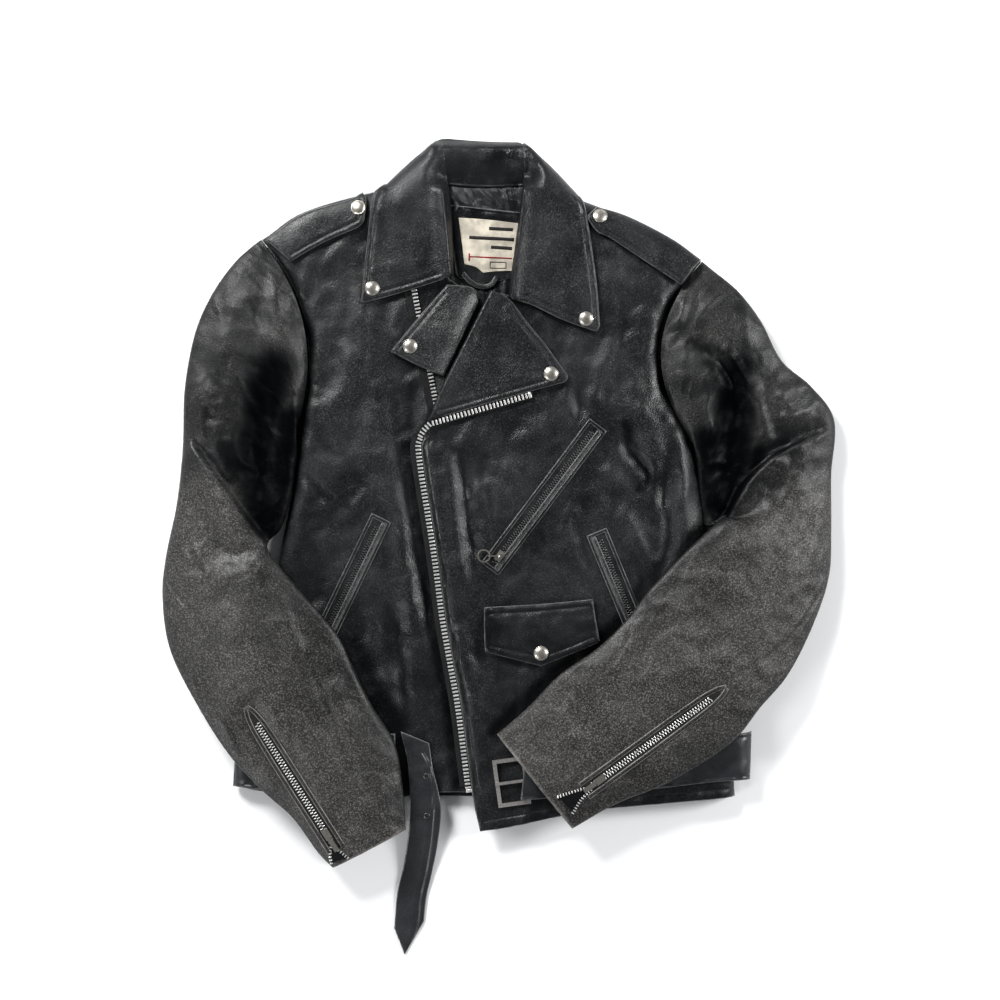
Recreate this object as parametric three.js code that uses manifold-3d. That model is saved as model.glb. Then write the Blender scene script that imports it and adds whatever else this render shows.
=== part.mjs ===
// A black leather motorcycle jacket with an off-centre zip, laid on its back with its forearms folded over it.
// Millimetres. +Z is up, off the surface it lies on, and +Y points from the hem to the collar.
// Right and left are the wearer's, so the wearer's right is at -X. The origin is under the middle of the jacket.
import * as THREE from "three";
import { mergeVertices } from "three/addons/utils/BufferGeometryUtils.js";
import Module from "manifold-3d";

const wasm = await Module();
wasm.setup();

// ---- The two sizes of the pattern
const SHOULDER_WIDTH = 443; // from one shoulder point to the other
const BODY_LENGTH = 654; // from the collar seam at the back neck to the hem

// ---- Leather, lining and the room between layers
const LEATHER = 2.4; // a panel with its backing
const PATCH = 1.2; // a single thin layer, such as a pocket patch
const LINING = 0.8;
const LABEL = 0.5;
const GAP = 0.3; // between pieces that touch
const EDGE = 0.5; // between panels that meet edge to edge
const LOFT = 8; // air inside the body
const SWING = 4; // room that a folded leaf needs at its fold

// ---- Sleeves
const SLEEVE_WALL = 2.2;
const UPPER_HEIGHT = 28;
const ELBOW_HEIGHT = 26;
const FOREARM_HEIGHT = 20;
const FOREARM_ROOM = 7; // between a front and the forearm over it, for pockets and belt

// ---- Zips
const ZIP_WIDTH = 6;
const ZIP_THICK = 2.2;
const ZIP_SUNK = 1; // how far a pocket zip sits below its panel's face
const ZIP_SLOT = 1.4; // between the two rows of a closed zip
const ZIP_STOP = 4; // where the rows are joined at each end
const ZIP_STAND = 2; // width of the tape's fold under a single row
const PLATE = 1; // a slider's top and bottom plates
const SLIDER_LENGTH = 11;
const SLIDER_WIDTH = 7;
const PULL_LENGTH = 14;
const PULL_WIDTH = 5;
const CHEST_ZIP = 167;
const HAND_ZIP = 151;
const CUFF_ZIP = 148;
const CUFF_ZIP_SHORT = 142;
const WELT_WIDTH = 22;
const WELT_OVER = 14; // how much longer a welt is than its zip
const WELT_THICK = 1.5;

// ---- Snaps
const SNAP_DIAMETER = 15;
const SNAP_DOME = 3;
const SNAP_RIM = 0.8;
const POST_DIAMETER = 3;
const SOCKET_DIAMETER = 10;
const SOCKET_THICK = 0.8;
const STUD_LEAST = 1.4; // the shortest stud

// ---- Belt
const BELT_WIDTH = 44;
const BELT_THICK = 2.4;
const BELT_SLOPE = 0.1; // how far the front run drops towards the buckle, for each millimetre along it
const BUCKLE_LENGTH = 33;
const BUCKLE_BAR = 4;
const BUCKLE_THICK = 3;
const BUCKLE_TURN = 0.14; // radians that the buckle lies askew
const PRONG_WIDTH = 3;
const PRONG_THICK = 1.6;

// ---- Chest ring
const RING_RADIUS = 6;
const RING_WIRE = 0.9;
const LINK_LENGTH = 13;
const LINK_HEIGHT = 4.6;
const LINK_WIRE = 1.1;

// ---- Levels
const BELT_RISE = BELT_THICK + 2 * GAP; // the back lies over the belt
const LINING_TOP = BELT_RISE + LEATHER + GAP + LINING;
const RIGHT_FRONT = LINING_TOP + LOFT;
const RIGHT_TOP = RIGHT_FRONT + LEATHER;
const HIDDEN_ZIP = RIGHT_TOP + GAP + PLATE + GAP;
const LEFT_FRONT = HIDDEN_ZIP + ZIP_THICK + GAP + PLATE + 2 * GAP;
const LEFT_TOP = LEFT_FRONT + LEATHER;
const SNAP_ROOM = STUD_LEAST + SOCKET_THICK + 3 * GAP;
const RIGHT_LEAF = Math.max(RIGHT_TOP + SNAP_ROOM, HIDDEN_ZIP + ZIP_THICK + GAP);
const LEFT_LEAF = LEFT_TOP + SNAP_ROOM;
const PATCH_TOP = LEFT_TOP + GAP + PATCH;
const RIGHT_FOREARM = RIGHT_TOP + FOREARM_ROOM;
const LEFT_FOREARM = LEFT_TOP + FOREARM_ROOM;

// ---- The pattern: its points are drawn for the base size and graded to the two sizes above.
const BASE_SHOULDER = 443;
const BASE_LENGTH = 654;
const at = (x, y) => new THREE.Vector2((x * SHOULDER_WIDTH) / BASE_SHOULDER, (y * BODY_LENGTH) / BASE_LENGTH);
const points = (...pairs) => pairs.map(([x, y]) => at(x, y));
const curve = (count, ...pairs) => new THREE.SplineCurve(points(...pairs)).getSpacedPoints(count);
const shifted = (list, x, y = 0) => list.map((p) => new THREE.Vector2(p.x + x, p.y + y));

const RIGHT_ARMHOLE = { top: at(-239, 310), pit: at(-203, 120), bow: 28 };
const LEFT_ARMHOLE = { top: at(204, 288), pit: at(195, 105), bow: 39 };
const RIGHT_SIDE = points([-208, 60], [-222, -12], [-240, -120], [-246, -168], [-250, -209], [-254, -243]);
const LEFT_SIDE = points([203, 60], [212, 0], [226, -110], [231, -168], [235, -209], [238, -250]);
const RIGHT_SHOULDER = points([-62, 371], [-130, 358], [-198, 338]);
const LEFT_SHOULDER = points([30, 367], [98, 345], [172, 312]);
const RIGHT_FOLD = points([-63, 411], [-48, 269]); // the collar's fold lines
const LEFT_FOLD = points([31, 405], [12, 249]);
const LAPEL_FOLD = points([-9, 258], [-72, 126]); // the left lapel's
const ZIP_LINE = curve(22, [-79, 109], [-81, 100], [-77, 68], [-72, 37], [-64, -16], [-57, -70], [-49, -116],
  [-41, -162], [-31, -240]);
const HIDDEN_LINE = points([13, -244], [-86, 262]);

// A chord's parabola: its middle stands `bow` to the left of the way from a to b.
function bowed(a, b, bow, share) {
  const across = b.clone().sub(a);
  const left = new THREE.Vector2(-across.y, across.x).normalize();
  return a.clone().addScaledVector(across, share).addScaledVector(left, 4 * bow * share * (1 - share));
}
const ARMHOLE_STEPS = 10;
const armhole = ({ top, pit, bow }, side) =>
  Array.from({ length: ARMHOLE_STEPS + 1 }, (_, i) => bowed(top, pit, side * bow, i / ARMHOLE_STEPS));
const RIGHT_ARM_EDGE = armhole(RIGHT_ARMHOLE, 1);
const LEFT_ARM_EDGE = armhole(LEFT_ARMHOLE, -1);

// ---- Solids
const GROUP = new THREE.Group();

function solidOf(geometry) {
  const bare = geometry.clone();
  for (const name of ["normal", "uv"]) bare.deleteAttribute(name);
  const merged = mergeVertices(bare, 1e-4);
  const triVerts = new Uint32Array(merged.index.array);
  return new wasm.Manifold(
    new wasm.Mesh({ numProp: 3, vertProperties: merged.attributes.position.array, triVerts }),
  );
}
function geometryOf(solid) {
  const mesh = solid.getMesh();
  const geometry = new THREE.BufferGeometry();
  geometry.setAttribute("position", new THREE.BufferAttribute(mesh.vertProperties, mesh.numProp));
  geometry.setIndex(new THREE.BufferAttribute(mesh.triVerts, 1));
  geometry.computeVertexNormals();
  return geometry;
}
const join = (first, ...rest) =>
  geometryOf(rest.reduce((solid, other) => solid.add(solidOf(other)), solidOf(first)));
const cut = (first, ...rest) =>
  geometryOf(rest.reduce((solid, other) => solid.subtract(solidOf(other)), solidOf(first)));

// A flat piece with a drawn outline.
function slab(outline, bottom, thickness, holes = []) {
  const shape = new THREE.Shape(outline);
  shape.holes = holes.map((hole) => new THREE.Path(hole));
  const geometry = new THREE.ExtrudeGeometry(shape, { depth: thickness, bevelEnabled: false });
  return geometry.translate(0, 0, bottom);
}
// The line `sideways` to the left of the way along a list of points.
function beside(list, sideways) {
  return list.map((p, i) => {
    const along = list[Math.min(i + 1, list.length - 1)].clone().sub(list[Math.max(i - 1, 0)]).normalize();
    return new THREE.Vector2(p.x - along.y * sideways, p.y + along.x * sideways);
  });
}
const strip = (list, width) => [...beside(list, width / 2), ...beside(list, -width / 2).reverse()];
const block = (x0, x1, y0, y1, z0, z1) =>
  new THREE.BoxGeometry(x1 - x0, y1 - y0, z1 - z0).translate((x0 + x1) / 2, (y0 + y1) / 2, (z0 + z1) / 2);

// A closed skin over rings of points. With inner rings it is a wall that is open at both ends.
function skin(rings, innerRings = null) {
  const count = rings[0].length;
  const all = innerRings ? [...rings, ...innerRings] : rings;
  const positions = all.flat().flatMap((p) => [p.x, p.y, p.z]);
  const index = [];
  const quad = (a, b, c, d) => index.push(a, b, c, a, c, d);
  const last = rings.length - 1;
  const id = (ring, i, inner) => (inner ? rings.length + ring : ring) * count + (i % count);
  for (let ring = 0; ring < last; ring++)
    for (let i = 0; i < count; i++) {
      quad(id(ring, i), id(ring, i + 1), id(ring + 1, i + 1), id(ring + 1, i));
      if (innerRings)
        quad(id(ring + 1, i, true), id(ring + 1, i + 1, true), id(ring, i + 1, true), id(ring, i, true));
    }
  for (let i = 0; i < count; i++) {
    if (innerRings) {
      quad(id(0, i + 1), id(0, i), id(0, i, true), id(0, i + 1, true));
      quad(id(last, i), id(last, i + 1), id(last, i + 1, true), id(last, i, true));
    } else if (i > 0 && i < count - 1) {
      index.push(id(0, 0), id(0, i + 1), id(0, i), id(last, 0), id(last, i), id(last, i + 1));
    }
  }
  const geometry = new THREE.BufferGeometry();
  geometry.setAttribute("position", new THREE.Float32BufferAttribute(positions, 3));
  geometry.setIndex(index);
  return faceOut(geometry);
}
// Turns a closed geometry's faces outward, whichever way its rings ran.
function faceOut(geometry) {
  const [a, b, c] = [new THREE.Vector3(), new THREE.Vector3(), new THREE.Vector3()];
  const { position } = geometry.attributes;
  const order = geometry.index.array;
  let volume = 0;
  for (let i = 0; i < order.length; i += 3) {
    a.fromBufferAttribute(position, order[i]);
    b.fromBufferAttribute(position, order[i + 1]);
    c.fromBufferAttribute(position, order[i + 2]);
    volume += a.dot(b.cross(c));
  }
  if (volume < 0) for (let i = 0; i < order.length; i += 3) [order[i], order[i + 1]] = [order[i + 1], order[i]];
  geometry.computeVertexNormals();
  return geometry;
}
// A band between a left and a right edge, with its own bottom and top at each station.
const band = (stations) =>
  skin(stations.map(({ l, r, bottom, top }) => [
    new THREE.Vector3(l.x, l.y, bottom),
    new THREE.Vector3(r.x, r.y, bottom),
    new THREE.Vector3(r.x, r.y, top),
    new THREE.Vector3(l.x, l.y, top),
  ]));

// ---- Materials
const LOOKS = {
  leather: { color: 0x17181b, roughness: 0.45, metalness: 0 },
  satin: { color: 0x0c0c0e, roughness: 0.35, metalness: 0 },
  label: { color: 0xe0d8c4, roughness: 0.8, metalness: 0 },
  teeth: { color: 0xb4b4b0, roughness: 0.3, metalness: 1 },
  nickel: { color: 0x9c988e, roughness: 0.35, metalness: 1 },
};
function add(name, look, geometry, place = null) {
  const mesh = new THREE.Mesh(geometry, new THREE.MeshStandardMaterial(LOOKS[look]));
  mesh.name = name;
  (place || GROUP).add(mesh);
  return mesh;
}

// ---- Body
const SIDE_FIRST = 3; // the side point from which the back lies over the belt
function backLevels() {
  const rights = [...RIGHT_SHOULDER, ...RIGHT_ARM_EDGE, ...RIGHT_SIDE];
  const lefts = [...LEFT_SHOULDER, ...LEFT_ARM_EDGE, ...LEFT_SIDE];
  const raised = rights.length - RIGHT_SIDE.length + SIDE_FIRST;
  return rights.map((l, i) => ({ l, r: lefts[i], rise: i >= raised ? BELT_RISE : 0 }));
}
function addBack() {
  add("back_panel", "leather",
    band(backLevels().map(({ l, r, rise }) => ({ l, r, bottom: rise, top: rise + LEATHER }))));
  const inset = 8;
  const bottom = LEATHER + GAP;
  add("back_lining", "satin", band(backLevels().map(({ l, r, rise }) => ({
    l: new THREE.Vector2(l.x + inset, l.y),
    r: new THREE.Vector2(r.x - inset, r.y),
    bottom: rise + bottom,
    top: rise + bottom + LINING,
  }))));
  const patch = points([-44, 348], [14, 340], [14, 270], [-38, 270], [-43, 278], [-50, 340]);
  const label = points([-41, 333], [10, 328], [10, 279], [-16, 278], [-35, 286]);
  const patchBottom = bottom + LINING + GAP;
  add("label_patch", "leather", slab(patch, patchBottom, PATCH));
  add("label", "label", slab(label, patchBottom + PATCH + GAP, LABEL));
}
// The collar behind the neck: a fall on the surface, a fold at the top and the stand coming back over it.
function addCollarBack() {
  const height = 12;
  const bend = height / 2;
  const neck = at(0, 375).y;
  const top = at(0, 411).y;
  const profile = new THREE.Path();
  profile.moveTo(neck, LEATHER / 2);
  profile.lineTo(top - bend, LEATHER / 2);
  profile.absarc(top - bend, bend, bend - LEATHER / 2, -Math.PI / 2, Math.PI / 2, false);
  profile.lineTo(neck, height - LEATHER / 2);
  const width = at(24, 0).x - at(-56, 0).x;
  const geometry = slab(strip(profile.getPoints(8), LEATHER), 0, width);
  geometry.applyMatrix4(new THREE.Matrix4().makeBasis(
    new THREE.Vector3(0, 1, 0), new THREE.Vector3(0, 0, 1), new THREE.Vector3(1, 0, 0)));
  add("collar_back", "leather", geometry.translate(at(-56, 0).x, 0, 0));
}

// ---- A straight zip's own frame: x along it from its closed end, y across it, z up from the panel's face.
function zipFrame(from, towards, level, centredOn = null, length = 0) {
  const along = towards.clone().sub(from).normalize();
  const start = centredOn ? centredOn.clone().addScaledVector(along, -length / 2) : from;
  const place = new THREE.Group();
  place.position.set(start.x, start.y, level);
  place.rotation.z = Math.atan2(along.y, along.x);
  GROUP.add(place);
  return { place, start, along, length };
}
const ZIP_ROOM = 0.5; // round a zip in its window
function zipWindow({ start, along, length }) {
  const ends = [-ZIP_ROOM, length + ZIP_ROOM].map((x) => start.clone().addScaledVector(along, x));
  return strip(ends, ZIP_WIDTH + 2 * ZIP_ROOM);
}
const rectangle = (x0, x1, halfWidth) => [[x0, -halfWidth], [x1, -halfWidth], [x1, halfWidth], [x0, halfWidth]]
  .map(([x, y]) => new THREE.Vector2(x, y));
const closedRows = (length) =>
  slab(rectangle(0, length, ZIP_WIDTH / 2), -ZIP_SUNK, ZIP_THICK,
    [rectangle(ZIP_STOP, length - ZIP_STOP, ZIP_SLOT / 2)]);
const SLIDER_REST = ZIP_STOP + GAP; // from the closed end to the slider
const ROWS_TOP = ZIP_THICK - ZIP_SUNK;
function sliderBody() {
  const [x0, x1] = [SLIDER_REST, SLIDER_REST + SLIDER_LENGTH];
  const top = ROWS_TOP + GAP;
  const web = ZIP_SLOT / 2 - GAP;
  const webEnd = 1.5;
  return join(
    block(x0, x1, -SLIDER_WIDTH / 2, SLIDER_WIDTH / 2, top, top + PLATE),
    block(x0 + webEnd, x1 - webEnd, -web, web, -ZIP_SUNK - GAP - PLATE / 2, top + PLATE / 2),
    block(x0, x1, -ZIP_WIDTH / 2 + GAP, ZIP_WIDTH / 2 - GAP, -ZIP_SUNK - GAP - PLATE, -ZIP_SUNK - GAP),
  );
}
function welt({ length }) {
  const over = WELT_OVER / 2;
  return slab(rectangle(-over, length + over, WELT_WIDTH / 2), GAP, WELT_THICK,
    [rectangle(-1, length + 1, SLIDER_WIDTH / 2 + 1)]);
}

const CHEST = zipFrame(at(-10, -22), at(99, 123), LEFT_TOP, at(45, 51), CHEST_ZIP);
const HAND_RIGHT = zipFrame(at(-192, -122), at(-121, 25), RIGHT_TOP, at(-154, -44), HAND_ZIP);
const HAND_LEFT = zipFrame(at(160, -135), at(101, 8), LEFT_TOP, at(129, -60), HAND_ZIP);

function addHandPocket(side, frame) {
  add(`hand_welt_${side}`, "leather", welt(frame), frame.place);
  add(`hand_zip_${side}`, "teeth", closedRows(frame.length), frame.place);
  add(`hand_slider_${side}`, "nickel", sliderBody(), frame.place);
}
// The slider's bar, the link that hangs on the bar and the ring that hangs on the link all lie towards -X.
const LINK_LEVEL = Math.max(GAP + WELT_THICK, ROWS_TOP + GAP + PLATE) + GAP + LINK_HEIGHT / 2;
function addChestPocket() {
  add("chest_welt", "leather", welt(CHEST), CHEST.place);
  add("chest_zip", "teeth", closedRows(CHEST.length), CHEST.place);
  const middle = SLIDER_REST + SLIDER_LENGTH / 2;
  const turned = CHEST.place.rotation.z;
  const ear = { half: 2.4, thick: 1, long: 4 };
  const barRadius = 0.6;
  const barX = -ear.long / 2 + barRadius + GAP;
  const plateTop = ROWS_TOP + GAP + PLATE / 2;
  const lug = [
    block(-ear.long / 2, ear.long / 2, ear.half - ear.thick, ear.half, plateTop, LINK_LEVEL + 1),
    block(-ear.long / 2, ear.long / 2, -ear.half, -ear.half + ear.thick, plateTop, LINK_LEVEL + 1),
    new THREE.CylinderGeometry(barRadius, barRadius, 2 * ear.half - ear.thick, 8).translate(barX, 0, LINK_LEVEL),
  ].map((piece) => piece.rotateZ(-turned).translate(middle, 0, 0));
  add("chest_slider", "nickel", join(sliderBody(), ...lug), CHEST.place);

  const hub = CHEST.start.clone().addScaledVector(CHEST.along, middle);
  const place = new THREE.Group();
  place.position.set(hub.x, hub.y, LEFT_TOP + LINK_LEVEL);
  GROUP.add(place);
  const loop = (inset) => {
    const radius = LINK_HEIGHT / 2 - inset;
    const reach = LINK_LENGTH / 2 - LINK_HEIGHT / 2;
    const path = new THREE.Path();
    path.absarc(reach, 0, radius, -Math.PI / 2, Math.PI / 2, false);
    path.absarc(-reach, 0, radius, Math.PI / 2, 1.5 * Math.PI, false);
    return path.getPoints(6).slice(0, -1);
  };
  const linkX = barX + barRadius + GAP + LINK_WIRE - LINK_LENGTH / 2;
  const link = slab(loop(0), -LINK_WIRE / 2, LINK_WIRE, [loop(LINK_WIRE)]).rotateX(Math.PI / 2);
  add("chest_link", "nickel", link.translate(linkX, 0, 0), place);
  const ringX = linkX - LINK_LENGTH / 2 + LINK_WIRE + GAP + RING_WIRE - RING_RADIUS;
  add("chest_ring", "nickel", new THREE.TorusGeometry(RING_RADIUS, RING_WIRE, 6, 24).translate(ringX, 0, 0), place);
}

// ---- Fronts
const LEFT_EDGE = beside(ZIP_LINE, ZIP_WIDTH / 2 + GAP); // the left front ends beside its teeth
function addFronts() {
  const rightOutline = [
    ...RIGHT_SHOULDER, ...RIGHT_ARM_EDGE, ...RIGHT_SIDE,
    ...points([-58, -244], [46, -247], [-33, 170], [-18, 250], [-50, 270], [-56, 310]),
  ];
  const window = (frame, level) => slab(zipWindow(frame), level - GAP, LEATHER + 2 * GAP);
  add("front_right", "leather", cut(slab(rightOutline, RIGHT_FRONT, LEATHER), window(HAND_RIGHT, RIGHT_FRONT)));
  const leftOutline = [
    ...LEFT_SHOULDER, ...LEFT_ARM_EDGE, ...LEFT_SIDE,
    ...points([103, -261], [57, -269], [-19, -284], [-22, -271]),
    ...[...LEFT_EDGE].reverse(),
    LAPEL_FOLD[1], LAPEL_FOLD[0], ...points([10, 253], [22, 310]),
  ];
  add("front_left", "leather", cut(slab(leftOutline, LEFT_FRONT, LEATHER),
    window(CHEST, LEFT_FRONT), window(HAND_LEFT, LEFT_FRONT)));
  const bottom = LINING_TOP;
  const wall = (edge, inward, top) =>
    band(edge.map((p) => ({ l: p, r: new THREE.Vector2(p.x + inward, p.y), bottom, top: top - GAP })));
  add("front_right_side", "leather", wall([RIGHT_ARMHOLE.pit, ...RIGHT_SIDE], LEATHER, RIGHT_FRONT));
  add("front_left_side", "leather", wall([LEFT_ARMHOLE.pit, ...LEFT_SIDE], -LEATHER, LEFT_FRONT));
}

// ---- Main zip
function addMainZip() {
  const level = LEFT_FRONT;
  add("main_zip_left", "teeth", slab(strip(ZIP_LINE, ZIP_WIDTH), level, ZIP_THICK));
  const lapelRow = beside(LAPEL_EDGE, ZIP_WIDTH / 2 + GAP);
  add("main_zip_lapel", "teeth", slab(strip(lapelRow, ZIP_WIDTH), LEFT_LEAF, ZIP_THICK));

  const frame = zipFrame(...HIDDEN_LINE, HIDDEN_ZIP);
  const length = HIDDEN_LINE[1].distanceTo(HIDDEN_LINE[0]);
  const half = ZIP_WIDTH / 2;
  const stand = RIGHT_TOP + GAP - HIDDEN_ZIP;
  add("main_zip_right", "teeth",
    join(block(0, length, -half, half, 0, ZIP_THICK), block(0, length, half - ZIP_STAND, half, stand, PLATE / 2)),
    frame.place);
  const [x0, x1] = [ZIP_STOP, ZIP_STOP + SLIDER_LENGTH];
  const far = -half - GAP;
  const near = half - ZIP_STAND - GAP;
  add("main_slider", "nickel", join(
    block(x0, x1, far - PLATE, near, ZIP_THICK + GAP, ZIP_THICK + GAP + PLATE),
    block(x0, x1, far - PLATE, far, stand, ZIP_THICK + GAP + PLATE),
    block(x0, x1, far - PLATE, near, stand, stand + PLATE),
  ), frame.place);
}

// ---- Snaps: a domed cap riveted through a leaf to the socket under it, and a stud on the body
const turned = (profile, sides = 20) =>
  new THREE.LatheGeometry(profile.map(([r, z]) => new THREE.Vector2(r, z)), sides).rotateX(Math.PI / 2);
function snapCap() {
  const [post, socket, cap] = [POST_DIAMETER / 2, SOCKET_DIAMETER / 2, SNAP_DIAMETER / 2];
  const top = LEATHER + GAP;
  return turned([
    [0, -GAP - SOCKET_THICK], [socket, -GAP - SOCKET_THICK], [socket, -GAP], [post, -GAP],
    [post, top], [cap, top], [cap, top + SNAP_RIM], [cap * 0.85, top + 0.6 * SNAP_DOME],
    [cap * 0.5, top + 0.92 * SNAP_DOME], [0, top + SNAP_DOME],
  ]);
}
const studSize = (leaf, surface) => leaf - surface - 3 * GAP - SOCKET_THICK;
function stud(height) {
  const flange = SOCKET_DIAMETER / 2;
  const post = POST_DIAMETER / 2;
  return turned([[0, GAP], [flange, GAP], [flange, GAP + PATCH / 2], [post, GAP + PATCH / 2],
    [post, GAP + height], [0, GAP + height]]);
}
const postHole = (spot) => {
  const shape = new THREE.Path();
  shape.absarc(spot.x, spot.y, POST_DIAMETER / 2 + GAP, 0, 2 * Math.PI, false);
  return shape.getPoints(12).slice(0, -1);
};
// A leaf lies over the body and is held down by one snap.
function addLeaf(name, outline, spot, level, surface) {
  add(name, "leather", slab(outline, level, LEATHER, [postHole(spot)]));
  add(`${name}_snap`, "nickel", snapCap()).position.set(spot.x, spot.y, level);
  add(`${name}_stud`, "nickel", stud(studSize(level, surface))).position.set(spot.x, spot.y, surface);
}
const LAPEL_EDGE = points([30, 156], [-67, 128]); // the left lapel's lower edge, where the zip goes on
function addLeaves() {
  addLeaf("collar_right",
    [...RIGHT_FOLD, ...points([-52, 270], [-94, 258], [-134, 246], [-138, 249]),
      ...curve(5, [-133, 300], [-127, 350], [-113, 367])],
    at(-127, 260), RIGHT_LEAF, RIGHT_TOP);
  addLeaf("collar_left",
    [...LEFT_FOLD, ...points([32, 243], [61, 230], [95, 217], [101, 222]),
      ...curve(5, [93, 280], [81, 355], [58, 382])],
    at(87, 229), LEFT_LEAF, LEFT_TOP);
  addLeaf("lapel_right", points([-20, 244], [-30, 262], [-52, 264], [-109, 197], [-54, 171]),
    at(-89, 202), RIGHT_LEAF, RIGHT_TOP);
  addLeaf("lapel_left",
    [LAPEL_FOLD[0], ...points([13, 246], [28, 226], [47, 203], [69, 171]), ...LAPEL_EDGE, LAPEL_FOLD[1]],
    at(52, 174), LEFT_LEAF, LEFT_TOP);
  addLeaf("epaulet_right",
    [...points([-137, 357], [-133, 350], [-135, 328], [-146, 319]),
      ...shifted(points([-213, 287], [-236, 309]), SWING), ...points([-198, 334], [-152, 348])],
    at(-141, 341), RIGHT_TOP + SNAP_ROOM, RIGHT_TOP);
  addLeaf("epaulet_left",
    [...points([98, 341], [87, 332], [112, 310]), ...shifted(points([184, 264], [203, 288]), -SWING),
      ...points([172, 309], [129, 331])],
    at(101, 332), LEFT_LEAF, LEFT_TOP);
}
function addFlap() {
  add("flap_pocket", "leather", slab(points([-11, -64], [89, -57], [94, -92], [-9, -100]), LEFT_TOP + GAP, PATCH));
  addLeaf("pocket_flap", points([-15, -59], [94, -51], [101, -94], [42, -118], [-14, -104]),
    at(42, -105), PATCH_TOP + SNAP_ROOM, PATCH_TOP);
}

// ---- Belt
const BELT_TOP_EDGE = at(0, -187).y;
const BUCKLE_END = at(34, 0).x; // the bar that the belt's end goes round
function addBelt() {
  const half = BELT_THICK / 2;
  const low = half;
  const [rightX, leftX] = [at(-266, 0).x, at(254, 0).x];
  const rightRun = RIGHT_TOP + GAP + half;
  const leftRun = LEFT_TOP + GAP + half;
  const rightBend = (rightRun - low) / 2;
  const leftBend = (leftRun - low) / 2;
  const path = new THREE.Path();
  path.moveTo(BUCKLE_END + GAP, leftRun);
  path.absarc(leftX - half - leftBend, low + leftBend, leftBend, Math.PI / 2, -Math.PI / 2, true);
  path.absarc(rightX + half + rightBend, low + rightBend, rightBend, -Math.PI / 2, -1.5 * Math.PI, true);
  path.lineTo(at(-104, 0).x, rightRun);
  const geometry = slab(strip(path.getPoints(8), BELT_THICK), 0, BELT_WIDTH).rotateX(Math.PI / 2);
  const { position } = geometry.translate(0, BELT_TOP_EDGE, 0).attributes;
  const drop = (x) => BELT_SLOPE * (leftX - x);
  for (let i = 0; i < position.count; i++)
    if (position.getZ(i) > LEFT_TOP) position.setY(i, position.getY(i) - drop(position.getX(i)));
  add("belt_band", "leather", geometry);

  const tail = [
    [[-99, -184], [-70, -196], 1], [[-92, -214], [-66, -222], 1], [[-89, -262], [-58, -262], 1],
    [[-92, -295], [-62, -300], 0.45], [[-97, -324], [-68, -330], 0.1], [[-103, -350], [-73, -352], 0],
    [[-106, -385], [-76, -378], 0], [[-97, -411], [-94, -412], 0],
  ];
  const lie = RIGHT_TOP + GAP;
  add("belt_tail", "leather", band(tail.map(([l, r, share]) => ({
    l: at(...l), r: at(...r), bottom: lie * share, top: lie * share + BELT_THICK,
  }))));

  const place = new THREE.Group();
  place.position.set(BUCKLE_END, BELT_TOP_EDGE - BELT_WIDTH / 2 - drop(BUCKLE_END), LEFT_TOP + GAP);
  place.rotation.z = BUCKLE_TURN;
  GROUP.add(place);
  const wide = BELT_WIDTH / 2 + BUCKLE_BAR / 2;
  const inside = wide - BUCKLE_BAR;
  add("buckle_frame", "nickel",
    slab(rectangle(-BUCKLE_LENGTH, 0, wide), 0, BUCKLE_THICK,
      [rectangle(-BUCKLE_LENGTH + BUCKLE_BAR, -BUCKLE_BAR, inside)]), place)
    .position.x = -BUCKLE_SHIFT;
  const prong = slab(rectangle(-BUCKLE_LENGTH, -BUCKLE_BAR / 2, PRONG_WIDTH / 2), BUCKLE_THICK + GAP, PRONG_THICK);
  add("buckle_prong", "nickel", prong, place).position.x = -BUCKLE_SHIFT;
}
const BUCKLE_SHIFT = (BELT_WIDTH / 2) * Math.sin(BUCKLE_TURN) + BUCKLE_BAR / 2; // so that it clears the belt

// ---- Sleeves: flattened tubes, drawn by their inner and outer edges and the level of each edge
const MIDDLES = [0.25, 0.5, 0.75];
function wallRing({ inner, outer, innerZ, outerZ, height, bow = 0 }, inset) {
  const width = inner.distanceTo(outer);
  const round = 0.4 * height - inset;
  const [x0, x1, z0, z1] = [inset, width - inset, inset, height - inset];
  const slant = round * (1 - Math.SQRT1_2);
  const corner = (x, z, dx, dz) => [[x, z + dz * round], [x + dx * slant, z + dz * slant], [x + dx * round, z]];
  const flat = (a, b, z) => MIDDLES.map((share) => [a + (b - a) * share, z]);
  const profile = [
    ...corner(x0, z0, 1, 1), ...flat(x0 + round, x1 - round, z0), ...corner(x1, z0, -1, 1).reverse(),
    ...corner(x1, z1, -1, -1), ...flat(x1 - round, x0 + round, z1), ...corner(x0, z1, 1, -1).reverse(),
  ];
  return profile.map(([x, z]) => {
    const share = x / width;
    const spot = bowed(inner, outer, bow, share);
    return new THREE.Vector3(spot.x, spot.y, innerZ + (outerZ - innerZ) * share + z);
  });
}
const sleeve = (stations) =>
  skin(stations.map((s) => wallRing(s, 0)), stations.map((s) => wallRing(s, SLEEVE_WALL)));
const station = (inner, outer, innerZ, outerZ, height, bow = 0) =>
  ({ inner: at(...inner), outer: at(...outer), innerZ, outerZ, height, bow });

const ELBOW_RIGHT = station([-240, 15], [-335, -10], 8, 0, ELBOW_HEIGHT);
const ELBOW_LEFT = station([232, 40], [333, 18], 14, 0, ELBOW_HEIGHT);
function addUpperSleeve(side, sign, hole, elbow, between) {
  const clear = (p) => new THREE.Vector2(p.x + sign * EDGE, p.y);
  const head = { inner: clear(hole.pit), outer: clear(hole.top), innerZ: 0, outerZ: 0, height: UPPER_HEIGHT,
    bow: sign * hole.bow };
  const last = { ...elbow, inner: elbow.inner.clone(), outer: elbow.outer.clone() };
  for (const edge of [last.inner, last.outer]) edge.y += EDGE;
  add(`upper_sleeve_${side}`, "leather", sleeve([head, ...between, last]));
}
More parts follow.
